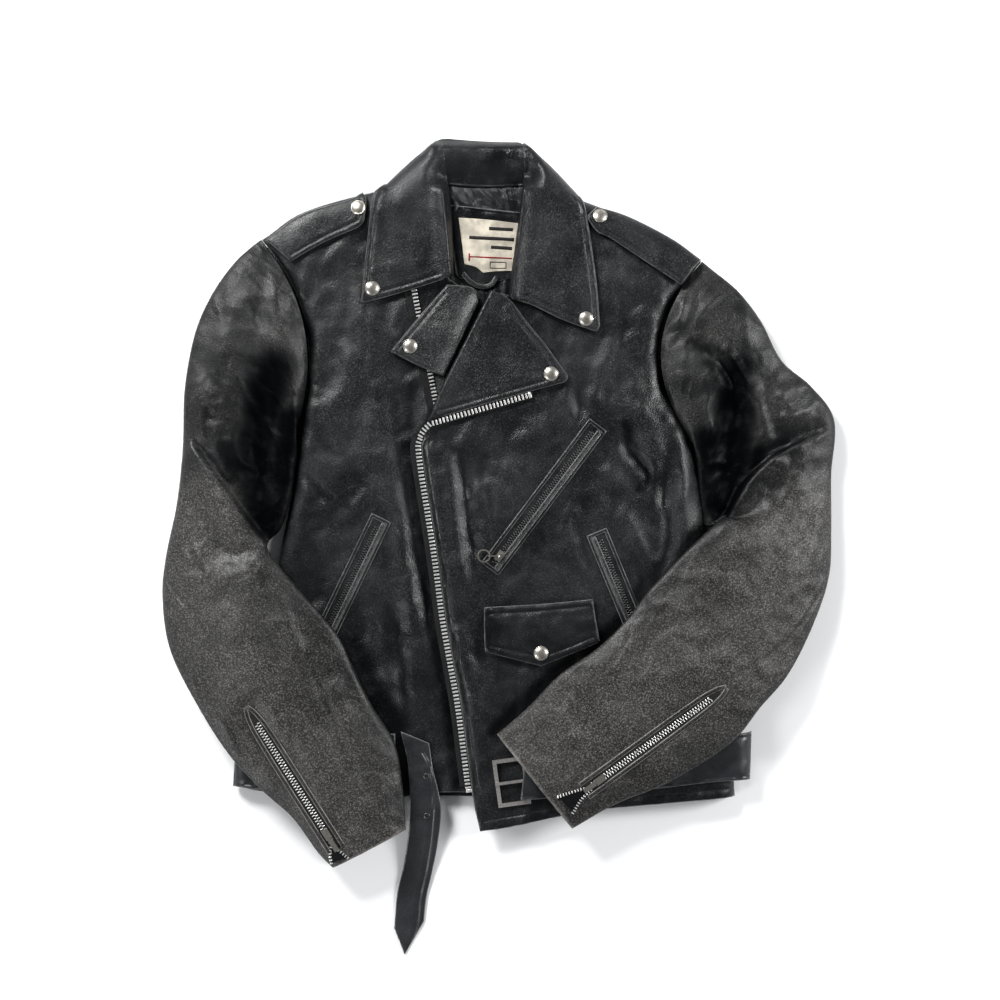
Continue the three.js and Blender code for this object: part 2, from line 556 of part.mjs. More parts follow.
// A forearm with a window for its cuff zip.
function addForearm(side, stations, zip) {
  add(`forearm_${side}`, "leather",
    cut(sleeve(stations), slab(zipWindow(zip), zip.place.position.z - FOREARM_HEIGHT / 2, FOREARM_HEIGHT)));
  add(`cuff_zip_${side}`, "teeth", closedRows(zip.length), zip.place);
  add(`cuff_slider_${side}`, "nickel", sliderBody(), zip.place);
  const end = SLIDER_REST - GAP;
  const half = PULL_WIDTH / 2;
  add(`cuff_pull_${side}`, "nickel",
    block(end - PULL_LENGTH, end, -half, half, ROWS_TOP + GAP, ROWS_TOP + GAP + PLATE), zip.place);
}
function addSleeves() {
  const up = UPPER_HEIGHT;
  addUpperSleeve("right", -1, RIGHT_ARMHOLE, ELBOW_RIGHT, [
    station([-212, 92], [-290, 252], 0, 0, up, 8), station([-220, 68], [-316, 160], 2, 0, up),
    station([-228, 42], [-321, 70], 4, 0, up),
  ]);
  addUpperSleeve("left", 1, LEFT_ARMHOLE, ELBOW_LEFT, [
    station([208, 84], [262, 228], 0, 0, up, -14), station([216, 66], [314, 162], 4, 0, up),
    station([224, 52], [336, 92], 9, 0, up),
  ]);
  const right = RIGHT_FOREARM;
  addForearm("right", [
    ELBOW_RIGHT,
    station([-224, -12], [-338, -52], right - 5, 2, ELBOW_HEIGHT),
    station([-190, -52], [-329, -103], right, 12, 23),
    station([-161, -87], [-300, -158], right, right, FOREARM_HEIGHT),
    station([-144, -122], [-270, -205], right, right, FOREARM_HEIGHT),
    station([-128, -155], [-238, -240], right, right, FOREARM_HEIGHT),
    station([-104, -195], [-206, -269], right, right, FOREARM_HEIGHT),
    station([-96, -240], [-182, -302], right, right, FOREARM_HEIGHT),
    station([-93, -281], [-166, -319], right, right, FOREARM_HEIGHT),
  ], CUFF_RIGHT);
  const left = LEFT_FOREARM;
  addForearm("left", [
    ELBOW_LEFT,
    station([217, 26], [330, -30], left - 4.5, 4, ELBOW_HEIGHT),
    station([182, -7], [311, -82], left, 14, 23),
    station([149, -42], [286, -128], left, left - 5, FOREARM_HEIGHT),
    station([126, -72], [258, -160], left, left, FOREARM_HEIGHT),
    station([97, -100], [229, -195], left, left, FOREARM_HEIGHT),
    station([60, -126], [172, -231], left, left, FOREARM_HEIGHT),
    station([30, -157], [115, -255], left, left, FOREARM_HEIGHT),
    station([-2, -185], [73, -279], left, left, FOREARM_HEIGHT),
  ], CUFF_LEFT);
}

GROUP.name = "motorcycle_jacket";
const RIGHT_CUFF_TOP = RIGHT_FOREARM + FOREARM_HEIGHT;
const CUFF_RIGHT = zipFrame(at(-164, -296), at(-245, -168), RIGHT_CUFF_TOP, at(-204, -232), CUFF_ZIP_SHORT);
const CUFF_LEFT = zipFrame(at(85, -240), at(214, -146), LEFT_FOREARM + FOREARM_HEIGHT, at(152, -191), CUFF_ZIP);
addBack();
addCollarBack();
addFronts();
addMainZip();
addChestPocket();
addHandPocket("right", HAND_RIGHT);
addHandPocket("left", HAND_LEFT);
addLeaves();
addFlap();
addBelt();
addSleeves();

export default GROUP;
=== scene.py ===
# %% [markdown]
# # A leather motorcycle jacket, laid on its back
#
# The jacket lies front up with both forearms folded over it. It is black leather with an off-centre zip,
# snapped lapels and collar, slanted zip pockets, zipped cuffs and a belt.
# The heights of the layers are read from the imported model. The pattern's lines are drawn here in
# millimetres, in the same frame, as a pattern cutter would, and are turned into metres when a mesh is made.

# %% Load the imported model
import math

import bmesh
import bpy
import numpy as np
from mathutils import Matrix, Vector, noise
from mathutils.geometry import delaunay_2d_cdt


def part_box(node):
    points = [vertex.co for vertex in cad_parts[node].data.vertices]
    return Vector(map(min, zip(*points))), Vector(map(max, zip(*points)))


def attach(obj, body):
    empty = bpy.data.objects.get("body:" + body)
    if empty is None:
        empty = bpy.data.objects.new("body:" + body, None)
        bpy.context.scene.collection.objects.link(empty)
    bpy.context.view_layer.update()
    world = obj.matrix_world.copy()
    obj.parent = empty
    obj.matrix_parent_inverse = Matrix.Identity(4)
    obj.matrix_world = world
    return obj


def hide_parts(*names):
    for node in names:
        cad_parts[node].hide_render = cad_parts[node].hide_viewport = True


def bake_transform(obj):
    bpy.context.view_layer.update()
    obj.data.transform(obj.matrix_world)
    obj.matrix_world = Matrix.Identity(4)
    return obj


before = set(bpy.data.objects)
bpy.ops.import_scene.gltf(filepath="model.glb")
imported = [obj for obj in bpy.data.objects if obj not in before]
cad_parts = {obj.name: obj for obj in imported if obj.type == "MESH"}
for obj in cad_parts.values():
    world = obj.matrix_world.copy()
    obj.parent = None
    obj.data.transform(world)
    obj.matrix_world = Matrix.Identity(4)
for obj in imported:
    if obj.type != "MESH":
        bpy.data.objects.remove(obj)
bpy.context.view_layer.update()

MM = 0.001

# %% [markdown]
# ## The camera
# The jacket is seen from straight above, so the camera looks down the Z axis. A long lens from far away keeps
# the parts that stand higher from looking larger, as a person holding a camera well above a table would.

# %% Camera
VIEW_WIDE = 1.0
CAMERA_HIGH = 2.4
MIDDLE_LEVEL = 0.028
bpy.ops.object.camera_add(location=(0.001, 0.048, CAMERA_HIGH + MIDDLE_LEVEL), rotation=(0, 0, 0))
camera = bpy.context.object
camera.name = "camera"
camera.data.sensor_width = 36
camera.data.lens = 36 * CAMERA_HIGH / VIEW_WIDE
camera.data.clip_end = 20
bpy.context.scene.camera = camera
bpy.context.scene.view_settings.view_transform = "Standard"
bpy.context.scene.view_settings.look = "Medium High Contrast"
print("lens", round(camera.data.lens, 1), "mm")

# %% [markdown]
# ## Soft light and a pale floor
# Black leather shows its shape by what it reflects. Looked at from above it mirrors the ceiling, so the ceiling
# is dark and the light comes from low windows all round: flat leather stays black and every fold lights up.

# %% Floor and lights
def soft_light(name, place, target, size, power):
    bpy.ops.object.light_add(type="AREA", location=place)
    light = bpy.context.object
    light.name = name
    light.data.shape = "RECTANGLE"
    light.data.size, light.data.size_y = size
    light.data.energy = power
    light.rotation_euler = (Vector(target) - Vector(place)).to_track_quat("-Z", "Y").to_euler()
    return light


soft_light("key_light", (-1.15, 1.55, 1.6), (0, 0.05, 0), (0.7, 0.6), 60)
soft_light("side_light", (1.9, 0.5, 1.35), (0, 0.0, 0), (0.6, 0.8), 38)
soft_light("low_light", (-1.5, -1.1, 1.3), (0, 0, 0), (0.6, 0.6), 15)

bpy.ops.mesh.primitive_plane_add(size=8, location=(0, 0, -0.0005))
floor = bpy.context.object
floor.name = "floor"

world = bpy.data.worlds.new("pale_room")
bpy.context.scene.world = world
world.use_nodes = True
sky = world.node_tree
height_up = sky.nodes.new("ShaderNodeSeparateXYZ")
sky.links.new(sky.nodes.new("ShaderNodeTexCoord").outputs["Generated"], height_up.inputs[0])
fall = sky.nodes.new("ShaderNodeMapRange")
fall.interpolation_type = "SMOOTHSTEP"
for label, value in (("From Min", 0.25), ("From Max", 0.85), ("To Min", 0.6), ("To Max", 0.15)):
    fall.inputs[label].default_value = value
sky.links.new(height_up.outputs["Z"], fall.inputs["Value"])
sky.nodes["Background"].inputs["Color"].default_value = (0.93, 0.96, 1.0, 1)
sky.links.new(fall.outputs["Result"], sky.nodes["Background"].inputs["Strength"])

# %% [markdown]
# ## Shader groups
# Grain, wear and weave are each used by several materials, so each is a node group with its own inputs. A group
# only puts out colours, masks and heights; the shaders themselves stay in the materials.

# %% Helpers for node trees
def wire(tree, output, target):
    tree.links.new(output, target)


def node(tree, kind, **values):
    made = tree.nodes.new(kind)
    for key, value in values.items():
        if hasattr(made, key):
            setattr(made, key, value)
        else:
            made.inputs[key].default_value = value
    return made


def new_group(name, inputs, outputs):
    group = bpy.data.node_groups.new(name, "ShaderNodeTree")
    for label, kind, value in inputs:
        socket = group.interface.new_socket(label, in_out="INPUT", socket_type=kind)
        if value is not None:
            socket.default_value = value
    for label, kind in outputs:
        group.interface.new_socket(label, in_out="OUTPUT", socket_type=kind)
    return group, group.nodes.new("NodeGroupInput"), group.nodes.new("NodeGroupOutput")


def math_node(tree, operation, a, b=None, clamp=False):
    made = tree.nodes.new("ShaderNodeMath")
    made.operation = operation
    made.use_clamp = clamp
    for socket, value in zip(made.inputs, (a, b)):
        if value is None:
            continue
        if isinstance(value, (int, float)):
            socket.default_value = value
        else:
            tree.links.new(value, socket)
    return made.outputs[0]


def mix_colour(tree, share, a, b):
    made = tree.nodes.new("ShaderNodeMix")
    made.data_type = "RGBA"
    for socket, value in ((made.inputs[0], share), (made.inputs[6], a), (made.inputs[7], b)):
        if isinstance(value, (int, float, tuple)):
            socket.default_value = value
        else:
            tree.links.new(value, socket)
    return made.outputs[2]


def ramp(tree, value, low, high):
    made = tree.nodes.new("ShaderNodeMapRange")
    made.interpolation_type = "SMOOTHSTEP"
    made.inputs["From Min"].default_value = low
    made.inputs["From Max"].default_value = high
    tree.links.new(value, made.inputs["Value"])
    return made.outputs["Result"]


# %% The grain of the leather
# Pebbles about a millimetre across, with hair-fine creases between them, broken up by a slower noise.
def make_grain():
    group, start, end = new_group("leather_grain",
        [("Place", "NodeSocketVector", None), ("Pebble", "NodeSocketFloat", 700.0)],
        [("Height", "NodeSocketFloat"), ("Crease", "NodeSocketFloat"), ("Speckle", "NodeSocketFloat"),
            ("Mottle", "NodeSocketFloat")])
    warp = node(group, "ShaderNodeTexNoise", Scale=260.0, Detail=3.0)
    wire(group, start.outputs["Place"], warp.inputs["Vector"])
    shift = node(group, "ShaderNodeVectorMath", operation="MULTIPLY_ADD")
    wire(group, warp.outputs["Color"], shift.inputs[0])
    shift.inputs[1].default_value = (0.0016,) * 3
    wire(group, start.outputs["Place"], shift.inputs[2])
    cells = node(group, "ShaderNodeTexVoronoi", feature="SMOOTH_F1", Smoothness=0.35)
    wire(group, shift.outputs[0], cells.inputs["Vector"])
    wire(group, start.outputs["Pebble"], cells.inputs["Scale"])
    fine = node(group, "ShaderNodeTexNoise", Scale=2300.0, Detail=3.0, Roughness=0.6)
    wire(group, start.outputs["Place"], fine.inputs["Vector"])
    pebbles = math_node(group, "SUBTRACT", 1.0, cells.outputs["Distance"])
    height = math_node(group, "ADD", pebbles, math_node(group, "MULTIPLY", fine.outputs["Fac"], 0.55))
    wire(group, height, end.inputs["Height"])
    crease = node(group, "ShaderNodeTexNoise", noise_type="RIDGED_MULTIFRACTAL", Scale=34.0, Detail=4.0,
        Roughness=0.55, Distortion=0.5)
    wire(group, shift.outputs[0], crease.inputs["Vector"])
    wire(group, crease.outputs["Fac"], end.inputs["Crease"])
    speckle = node(group, "ShaderNodeTexNoise", Scale=620.0, Detail=4.0, Roughness=0.75)
    wire(group, start.outputs["Place"], speckle.inputs["Vector"])
    wire(group, ramp(group, speckle.outputs["Fac"], 0.46, 0.74), end.inputs["Speckle"])
    slow = node(group, "ShaderNodeTexNoise", Scale=17.0, Detail=4.0, Roughness=0.6)
    wire(group, start.outputs["Place"], slow.inputs["Vector"])
    wire(group, ramp(group, slow.outputs["Fac"], 0.35, 0.68), end.inputs["Mottle"])
    return group


# %% Wear: where the finish has rubbed through
# Each leather mesh carries three numbers at every point. The wear number is high on edges and crests, where the
# finish rubs through. The second lightens whole areas where the finish has worn away; on the right lapel and the
# pocket welts it also paints a highlight, and on the sleeves it falls in the hollows as painted shade. The third
# is painted shade: high in the hollows and beside edges that lie over the leather, it turns the colour near
# black and weakens the reflection. Noise breaks the first two up.
def make_wear():
    group, start, end = new_group("leather_wear",
        [("Place", "NodeSocketVector", None), ("Wear", "NodeSocketFloat", 0.0)],
        [("Mask", "NodeSocketFloat")])
    rough = node(group, "ShaderNodeTexNoise", Scale=330.0, Detail=6.0, Roughness=0.8)
    wire(group, start.outputs["Place"], rough.inputs["Vector"])
    patchy = node(group, "ShaderNodeTexNoise", Scale=45.0, Detail=2.0)
    wire(group, start.outputs["Place"], patchy.inputs["Vector"])
    both = math_node(group, "MULTIPLY", rough.outputs["Fac"],
        math_node(group, "ADD", patchy.outputs["Fac"], 0.45))
    raised = math_node(group, "MULTIPLY", start.outputs["Wear"], math_node(group, "ADD", both, 0.25))
    wire(group, ramp(group, raised, 0.3, 0.85), end.inputs["Mask"])
    return group


# %% A woven cloth's threads
def make_weave():
    group, start, end = new_group("weave",
        [("Place", "NodeSocketVector", None), ("Threads", "NodeSocketFloat", 2500.0)],
        [("Height", "NodeSocketFloat")])
    parts = []
    for direction in ("X", "Y"):
        lines = node(group, "ShaderNodeTexWave", wave_type="BANDS", bands_direction=direction)
        lines.inputs["Distortion"].default_value = 0.6
        wire(group, start.outputs["Place"], lines.inputs["Vector"])
        wire(group, start.outputs["Threads"], lines.inputs["Scale"])
        parts.append(lines.outputs["Fac"])
    wire(group, math_node(group, "MAXIMUM", *parts), end.inputs["Height"])
    return group


GRAIN, WEAR, WEAVE = make_grain(), make_wear(), make_weave()
print("groups:", [g.name for g in bpy.data.node_groups])

# %% [markdown]
# ## Materials
# Leather comes in three tempers: the body's, cool and nearly black; the forearms', rubbed to a warm grey; and
# the smooth strap leather of the belt. Satin lines the body. The metal is bright on the teeth and aged on the
# snaps.

# %% A material's bare parts
def new_material(name):
    material = bpy.data.materials.new(name)
    material.use_nodes = True
    tree = material.node_tree
    shader = tree.nodes["Principled BSDF"]
    place = node(tree, "ShaderNodeTexCoord").outputs["Object"]
    return material, tree, shader, place


def use_group(tree, group, place, **values):
    made = tree.nodes.new("ShaderNodeGroup")
    made.node_tree = group
    wire(tree, place, made.inputs["Place"])
    for key, value in values.items():
        made.inputs[key].default_value = value
    return made


def bump(tree, shader, height, distance, strength=1.0):
    made = node(tree, "ShaderNodeBump", Distance=distance, Strength=strength)
    wire(tree, height, made.inputs["Height"])
    wire(tree, made.outputs["Normal"], shader.inputs["Normal"])
    return made


# %% Leather
def leather(name, dark, light, worn, gloss=(0.36, 0.56), pebble=700.0, depth=0.0002, crease=0.0010,
        specular=0.5):
    material, tree, shader, place = new_material(name)
    grain = use_group(tree, GRAIN, place, Pebble=pebble)
    wear_value = node(tree, "ShaderNodeAttribute", attribute_name="wear").outputs["Fac"]
    fade_and_painted_light_value = node(tree, "ShaderNodeAttribute", attribute_name="fade_and_painted_light").outputs["Fac"]
    rubbed = use_group(tree, WEAR, place)
    wire(tree, wear_value, rubbed.inputs["Wear"])
    base = mix_colour(tree, grain.outputs["Mottle"], dark, light)
    specks = math_node(tree, "ADD", math_node(tree, "MULTIPLY", grain.outputs["Speckle"], 2.0), 0.12)
    # The colour moves towards the worn grey by the second attribute: worn finish, and also painted highlight on
    # the right lapel and the pocket welts and painted shade in the sleeves' hollows.
    lightened_share = math_node(tree, "MULTIPLY", fade_and_painted_light_value, specks, clamp=True)
    lightened_colour = mix_colour(tree, lightened_share, base, worn)
    edge = tuple(min(1, c * 2.1) for c in worn[:3]) + (1,)
    # Painted shade: the third attribute turns the colour near black and weakens the reflection, standing in for
    # the shade in hollows and beside edges.
    painted_shade_value = node(tree, "ShaderNodeAttribute", attribute_name="painted_shade").outputs["Fac"]
    unshaded_share = math_node(tree, "SUBTRACT", 1.0, math_node(tree, "MULTIPLY", painted_shade_value, 0.9))
    rubbed_colour = mix_colour(tree, rubbed.outputs["Mask"], lightened_colour, edge)
    wire(tree, mix_colour(tree, painted_shade_value, rubbed_colour, (0.001, 0.0013, 0.0018, 1)),
        shader.inputs["Base Color"])
    rough = node(tree, "ShaderNodeMapRange")
    rough.inputs["To Min"].default_value, rough.inputs["To Max"].default_value = gloss
    wire(tree, grain.outputs["Mottle"], rough.inputs["Value"])
    duller = math_node(tree, "ADD", rough.outputs["Result"], math_node(tree, "MULTIPLY", fade_and_painted_light_value, 0.1))
    wire(tree, duller, shader.inputs["Roughness"])
    wire(tree, math_node(tree, "MULTIPLY", unshaded_share, specular), shader.inputs["Specular IOR Level"])
    creased = node(tree, "ShaderNodeBump", Distance=crease)
    wire(tree, grain.outputs["Crease"], creased.inputs["Height"])
    pebbled = bump(tree, shader, grain.outputs["Height"], depth)
    wire(tree, creased.outputs["Normal"], pebbled.inputs["Normal"])
    return material


BODY_LEATHER = leather("body_leather", (0.0018, 0.0024, 0.0030, 1), (0.0055, 0.0066, 0.0075, 1),
    (0.08, 0.079, 0.079, 1), gloss=(0.27, 0.43), specular=0.42)
SLEEVE_LEATHER = leather("sleeve_leather", (0.0026, 0.003, 0.0036, 1), (0.009, 0.0095, 0.010, 1),
    (0.125, 0.118, 0.110, 1), gloss=(0.34, 0.5), specular=0.42)
STRAP_LEATHER = leather("strap_leather", (0.017, 0.0185, 0.021, 1), (0.027, 0.0285, 0.032, 1),
    (0.07, 0.07, 0.07, 1),
    gloss=(0.3, 0.42), pebble=1100.0, depth=0.00008, crease=0.0003)


# %% Satin, tape, thread and the woven label
def cloth(name, colour, rough, threads, depth, sheen=0.0, second=None):
    material, tree, shader, place = new_material(name)
    weave = use_group(tree, WEAVE, place, Threads=threads)
    shade = tuple(c * 0.6 for c in colour[:3]) + (1,)
    tint = node(tree, "ShaderNodeTexNoise", Scale=90.0, Detail=3.0)
    wire(tree, place, tint.inputs["Vector"])
    mixed = mix_colour(tree, ramp(tree, tint.outputs["Fac"], 0.3, 0.7), shade, colour)
    wire(tree, mixed, shader.inputs["Base Color"])
    shader.inputs["Roughness"].default_value = rough
    shader.inputs["Sheen Weight"].default_value = sheen
    bump(tree, shader, weave.outputs["Height"], depth)
    return material


SATIN = cloth("black_satin", (0.012, 0.013, 0.015, 1), 0.33, 3200.0, 0.00004, sheen=0.15)
TAPE = cloth("zip_tape", (0.01, 0.01, 0.011, 1), 0.8, 1500.0, 0.00015)
THREAD = cloth("black_thread", (0.03, 0.03, 0.032, 1), 0.55, 5000.0, 0.00005)
LABEL_CLOTH = cloth("label_cloth", (0.72, 0.66, 0.55, 1), 0.85, 1900.0, 0.00008)
LABEL_DARK = cloth("label_dark_yarn", (0.03, 0.028, 0.028, 1), 0.8, 2600.0, 0.00008)
LABEL_RED = cloth("label_red_yarn", (0.32, 0.02, 0.03, 1), 0.8, 2600.0, 0.00008)


# %% Metals
def metal(name, colour, dark, rough, scratch=0.00003):
    material, tree, shader, place = new_material(name)
    stain = node(tree, "ShaderNodeTexNoise", Scale=420.0, Detail=5.0, Roughness=0.7)
    wire(tree, place, stain.inputs["Vector"])
    mask = ramp(tree, stain.outputs["Fac"], 0.38, 0.66)
    wire(tree, mix_colour(tree, mask, dark, colour), shader.inputs["Base Color"])
    shader.inputs["Metallic"].default_value = 1.0
    spread = node(tree, "ShaderNodeMapRange")
    spread.inputs["To Min"].default_value, spread.inputs["To Max"].default_value = rough[1], rough[0]
    wire(tree, mask, spread.inputs["Value"])
    wire(tree, spread.outputs["Result"], shader.inputs["Roughness"])
    fine = node(tree, "ShaderNodeTexNoise", Scale=3500.0, Detail=2.0)
    wire(tree, place, fine.inputs["Vector"])
    bump(tree, shader, fine.outputs["Fac"], scratch)
    return material


TEETH = metal("bright_teeth", (0.95, 0.95, 0.93, 1), (0.7, 0.69, 0.67, 1), (0.32, 0.48))
DARK_TEETH = metal("aged_teeth", (0.3, 0.29, 0.28, 1), (0.1, 0.1, 0.1, 1), (0.3, 0.5))
NICKEL = metal("aged_nickel", (0.62, 0.6, 0.55, 1), (0.3, 0.28, 0.25, 1), (0.26, 0.45))
BUCKLE_METAL = metal("brushed_buckle", (0.75, 0.72, 0.69, 1), (0.45, 0.43, 0.41, 1), (0.34, 0.5))


def plain_floor():
    material, tree, shader, place = new_material("pale_floor")
    soft = node(tree, "ShaderNodeTexNoise", Scale=3.0)
    wire(tree, place, soft.inputs["Vector"])
    wire(tree, mix_colour(tree, soft.outputs["Fac"], (0.86, 0.86, 0.86, 1), (0.9, 0.9, 0.9, 1)),
        shader.inputs["Base Color"])
    shader.inputs["Roughness"].default_value = 0.9
    shader.inputs["Specular IOR Level"].default_value = 0.1
    return material


floor.data.materials.append(plain_floor())
print("materials:", len(bpy.data.materials))

# %% [markdown]
# ## Drawing on the pattern
# A leather panel is cut along a line, so the helpers here work on lines: they smooth them, space points along
# them, and measure how far any place is from them. Everything later rests on that distance: turned edges,
# stitch lines, folds and wear.

# %% Lines
def even(line, step):
    line = np.array(line, float)
    gaps = np.linalg.norm(np.diff(line, axis=0), axis=1)
    along = np.concatenate([[0], np.cumsum(gaps)])
    count = max(1, round(along[-1] / step))
    at = np.linspace(0, along[-1], count + 1)
    return np.stack([np.interp(at, along, line[:, k]) for k in range(line.shape[1])], axis=1)


def smooth(points, step=4.0):
    """A curve through the points, with points about step apart."""
    p = np.array(points, float)
    if len(p) == 2:
        return even(p, step)
    ends = np.vstack([2 * p[0] - p[1], p, 2 * p[-1] - p[-2]])
    t = np.linspace(0, 1, 13)[:-1, None]
    out = [0.5 * (2 * b + (c - a) * t + (2 * a - 5 * b + 4 * c - d) * t**2 + (3 * b - a - 3 * c + d) * t**3)
        for a, b, c, d in zip(ends[:-3], ends[1:-2], ends[2:-1], ends[3:])]
    return even(np.vstack([*out, p[-1:]]), step)


def outline(*runs, step=4.0):
    """A closed outline: each run is a smooth curve, and runs meet at corners."""
    joined = np.vstack([smooth(run, step) for run in runs])
    keep = np.linalg.norm(joined - np.roll(joined, 1, axis=0), axis=1) > 0.4
    return joined[keep]


def beside(line, distance):
    """The line that far to the left of the way along it."""
    line = np.array(line, float)
    along = np.gradient(line, axis=0)
    along /= np.maximum(np.linalg.norm(along, axis=1, keepdims=True), 1e-9)
    return line + distance * np.stack([-along[:, 1], along[:, 0]], axis=1)


def from_line(points, line, closed=False):
    """For each point: how far it is from the line, how far along its nearest place is, and its signed side."""
    points, line = np.asarray(points, float), np.asarray(line, float)
    a = line if closed else line[:-1]
    b = np.roll(line, -1, axis=0) if closed else line[1:]
    d = b - a
    size = np.maximum((d**2).sum(1), 1e-9)
    before = np.concatenate([[0], np.cumsum(np.sqrt(size))])
    far, share, side = (np.zeros(len(points)) for _ in range(3))
    for i in range(0, len(points), 2500):
        p = points[i:i + 2500, None]
        t = np.clip(((p - a) * d).sum(2) / size, 0, 1)
        off = p - a - t[..., None] * d
        dist = np.linalg.norm(off, axis=2)
        k = dist.argmin(1)
        rows = np.arange(len(k))
        far[i:i + 2500] = dist[rows, k]
        share[i:i + 2500] = (before[k] + t[rows, k] * np.sqrt(size[k])) / before[-1]
        side[i:i + 2500] = np.sign(d[k, 0] * off[rows, k, 1] - d[k, 1] * off[rows, k, 0])
    return far, share, side


def inside(points, edge):
    x, y = np.asarray(points, float).T
    result = np.zeros(len(x), bool)
    for (ax, ay), (bx, by) in zip(edge, np.roll(edge, -1, axis=0)):
        crosses = (ay > y) != (by > y)
        if by != ay:
            result ^= crosses & (x < (bx - ax) * (y - ay) / (by - ay) + ax)
    return result


def step_up(x, low, high):
    t = np.clip((np.asarray(x, float) - low) / (high - low), 0, 1)
    return t * t * (3 - 2 * t)


def rolled(far, reach):
    """From 0 at an edge up to 1 at reach from it, round a quarter circle."""
    return np.sqrt(1 - (1 - np.clip(far / reach, 0, 1)) ** 2)


def flat_at(value):
    """The same value at every point, for a level or a fade."""
    return lambda points: np.full(len(points), value)


# %% [markdown]
# ## Levels and the pattern's lines
# The layers lie on each other like pages: back, lining, right front, hidden zip, left front, then the folded
# collar and lapels, and the forearms on top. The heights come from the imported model's boxes.

# %% Levels, in millimetres
def low_of(name):
    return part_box(name)[0][2] / MM


def high_of(name):
    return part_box(name)[1][2] / MM


RIGHT_FRONT, LEFT_FRONT = low_of("front_right"), low_of("front_left")
RIGHT_TOP, LEFT_TOP = high_of("front_right"), high_of("front_left")
RIGHT_LEAF, LEFT_LEAF = low_of("lapel_right"), low_of("lapel_left")
RIGHT_STRAP, LEFT_STRAP = low_of("epaulet_right"), low_of("epaulet_left")
FLAP_LEVEL = low_of("pocket_flap")
LINING_LEVEL = low_of("back_lining")
LEATHER = RIGHT_TOP - RIGHT_FRONT
STRAP_THICK = 2.4
# How far a stitch lies below the leather's top, and how thick a zip's tape is
STITCH_SUNK, TAPE_THICK = 0.45, 0.5
CUFF_TEETH_HIGH, FOREARM_HIGH = 1.2, 20
RIGHT_CUFF_TOP = high_of("cuff_zip_right") - CUFF_TEETH_HIGH
LEFT_CUFF_TOP = high_of("cuff_zip_left") - CUFF_TEETH_HIGH
RIGHT_FOREARM, LEFT_FOREARM = RIGHT_CUFF_TOP - FOREARM_HIGH, LEFT_CUFF_TOP - FOREARM_HIGH
print("levels:", [round(v, 1) for v in (RIGHT_FRONT, LEFT_FRONT, RIGHT_LEAF, LEFT_LEAF, FLAP_LEVEL)])


def bowed(a, b, bow, count=24):
    a, b = np.array(a, float), np.array(b, float)
    t = np.linspace(0, 1, count + 1)[:, None]
    across = b - a
    left = np.array([-across[1], across[0]]) / np.linalg.norm(across)
    return a + across * t + left * 4 * bow * t * (1 - t)


RIGHT_ARMHOLE = bowed((-239, 310), (-203, 120), 28)
LEFT_ARMHOLE = bowed((204, 288), (195, 105), -39)
RIGHT_SIDE = [(-203, 120), (-208, 60), (-222, -12), (-240, -120), (-246, -168), (-250, -209), (-254, -243)]
LEFT_SIDE = [(195, 105), (203, 60), (212, 0), (226, -110), (231, -168), (235, -209), (238, -250)]
RIGHT_SHOULDER = [(-62, 371), (-130, 358), (-198, 338), (-239, 310)]
LEFT_SHOULDER = [(30, 367), (98, 345), (172, 312), (204, 288)]
RIGHT_FOLD = [(-63, 411), (-57, 360), (-48, 269)]
LEFT_FOLD = [(31, 405), (24, 350), (12, 249)]
LAPEL_FOLD = [(-9, 258), (-35, 206), (-58, 160), (-72, 126)]
ZIP_LINE = smooth([(-79, 109), (-81, 100), (-77, 68), (-72, 37), (-64, -16), (-57, -70), (-49, -116),
    (-41, -162),
    (-31, -240)], 2.0)
HIDDEN_LINE = np.array([(13, -244), (-86, 262)], float)
LAPEL_EDGE = [(30, 156), (-67, 128)]

# Straight zips: the closed end, the way along, and the length
CHEST_START, CHEST_WAY, CHEST_LONG = np.array((-5.2, -15.7)), np.array((0.6009, 0.7993)), 167.0


def zip_start(middle, way, length):
    way = np.array(way, float) / np.linalg.norm(way)
    return np.array(middle, float) - way * length / 2, way, length


HAND_RIGHT = zip_start((-154, -44), (71, 147), 151.0)
HAND_LEFT = zip_start((129, -60), (-59, 143), 151.0)
CUFF_RIGHT = zip_start((-204, -232), (-81, 128), 142.0)
CUFF_LEFT = zip_start((152, -191), (129, 94), 148.0)
CHEST = (CHEST_START, CHEST_WAY, CHEST_LONG)


def zip_ends(zip_frame, over=0.0):
    start, way, length = zip_frame
    return np.array([start - way * over, start + way * (length + over)])


# %% [markdown]
# ## How the leather lies
# Leather is stiff cloth: it doesn't drape in small gathers but in a few long soft folds. One height field
# holds all the folds of the body, and every layer over the body uses the same one, so layers never cut
# through each other. Round the pockets the field is calm, because zips keep the leather flat.

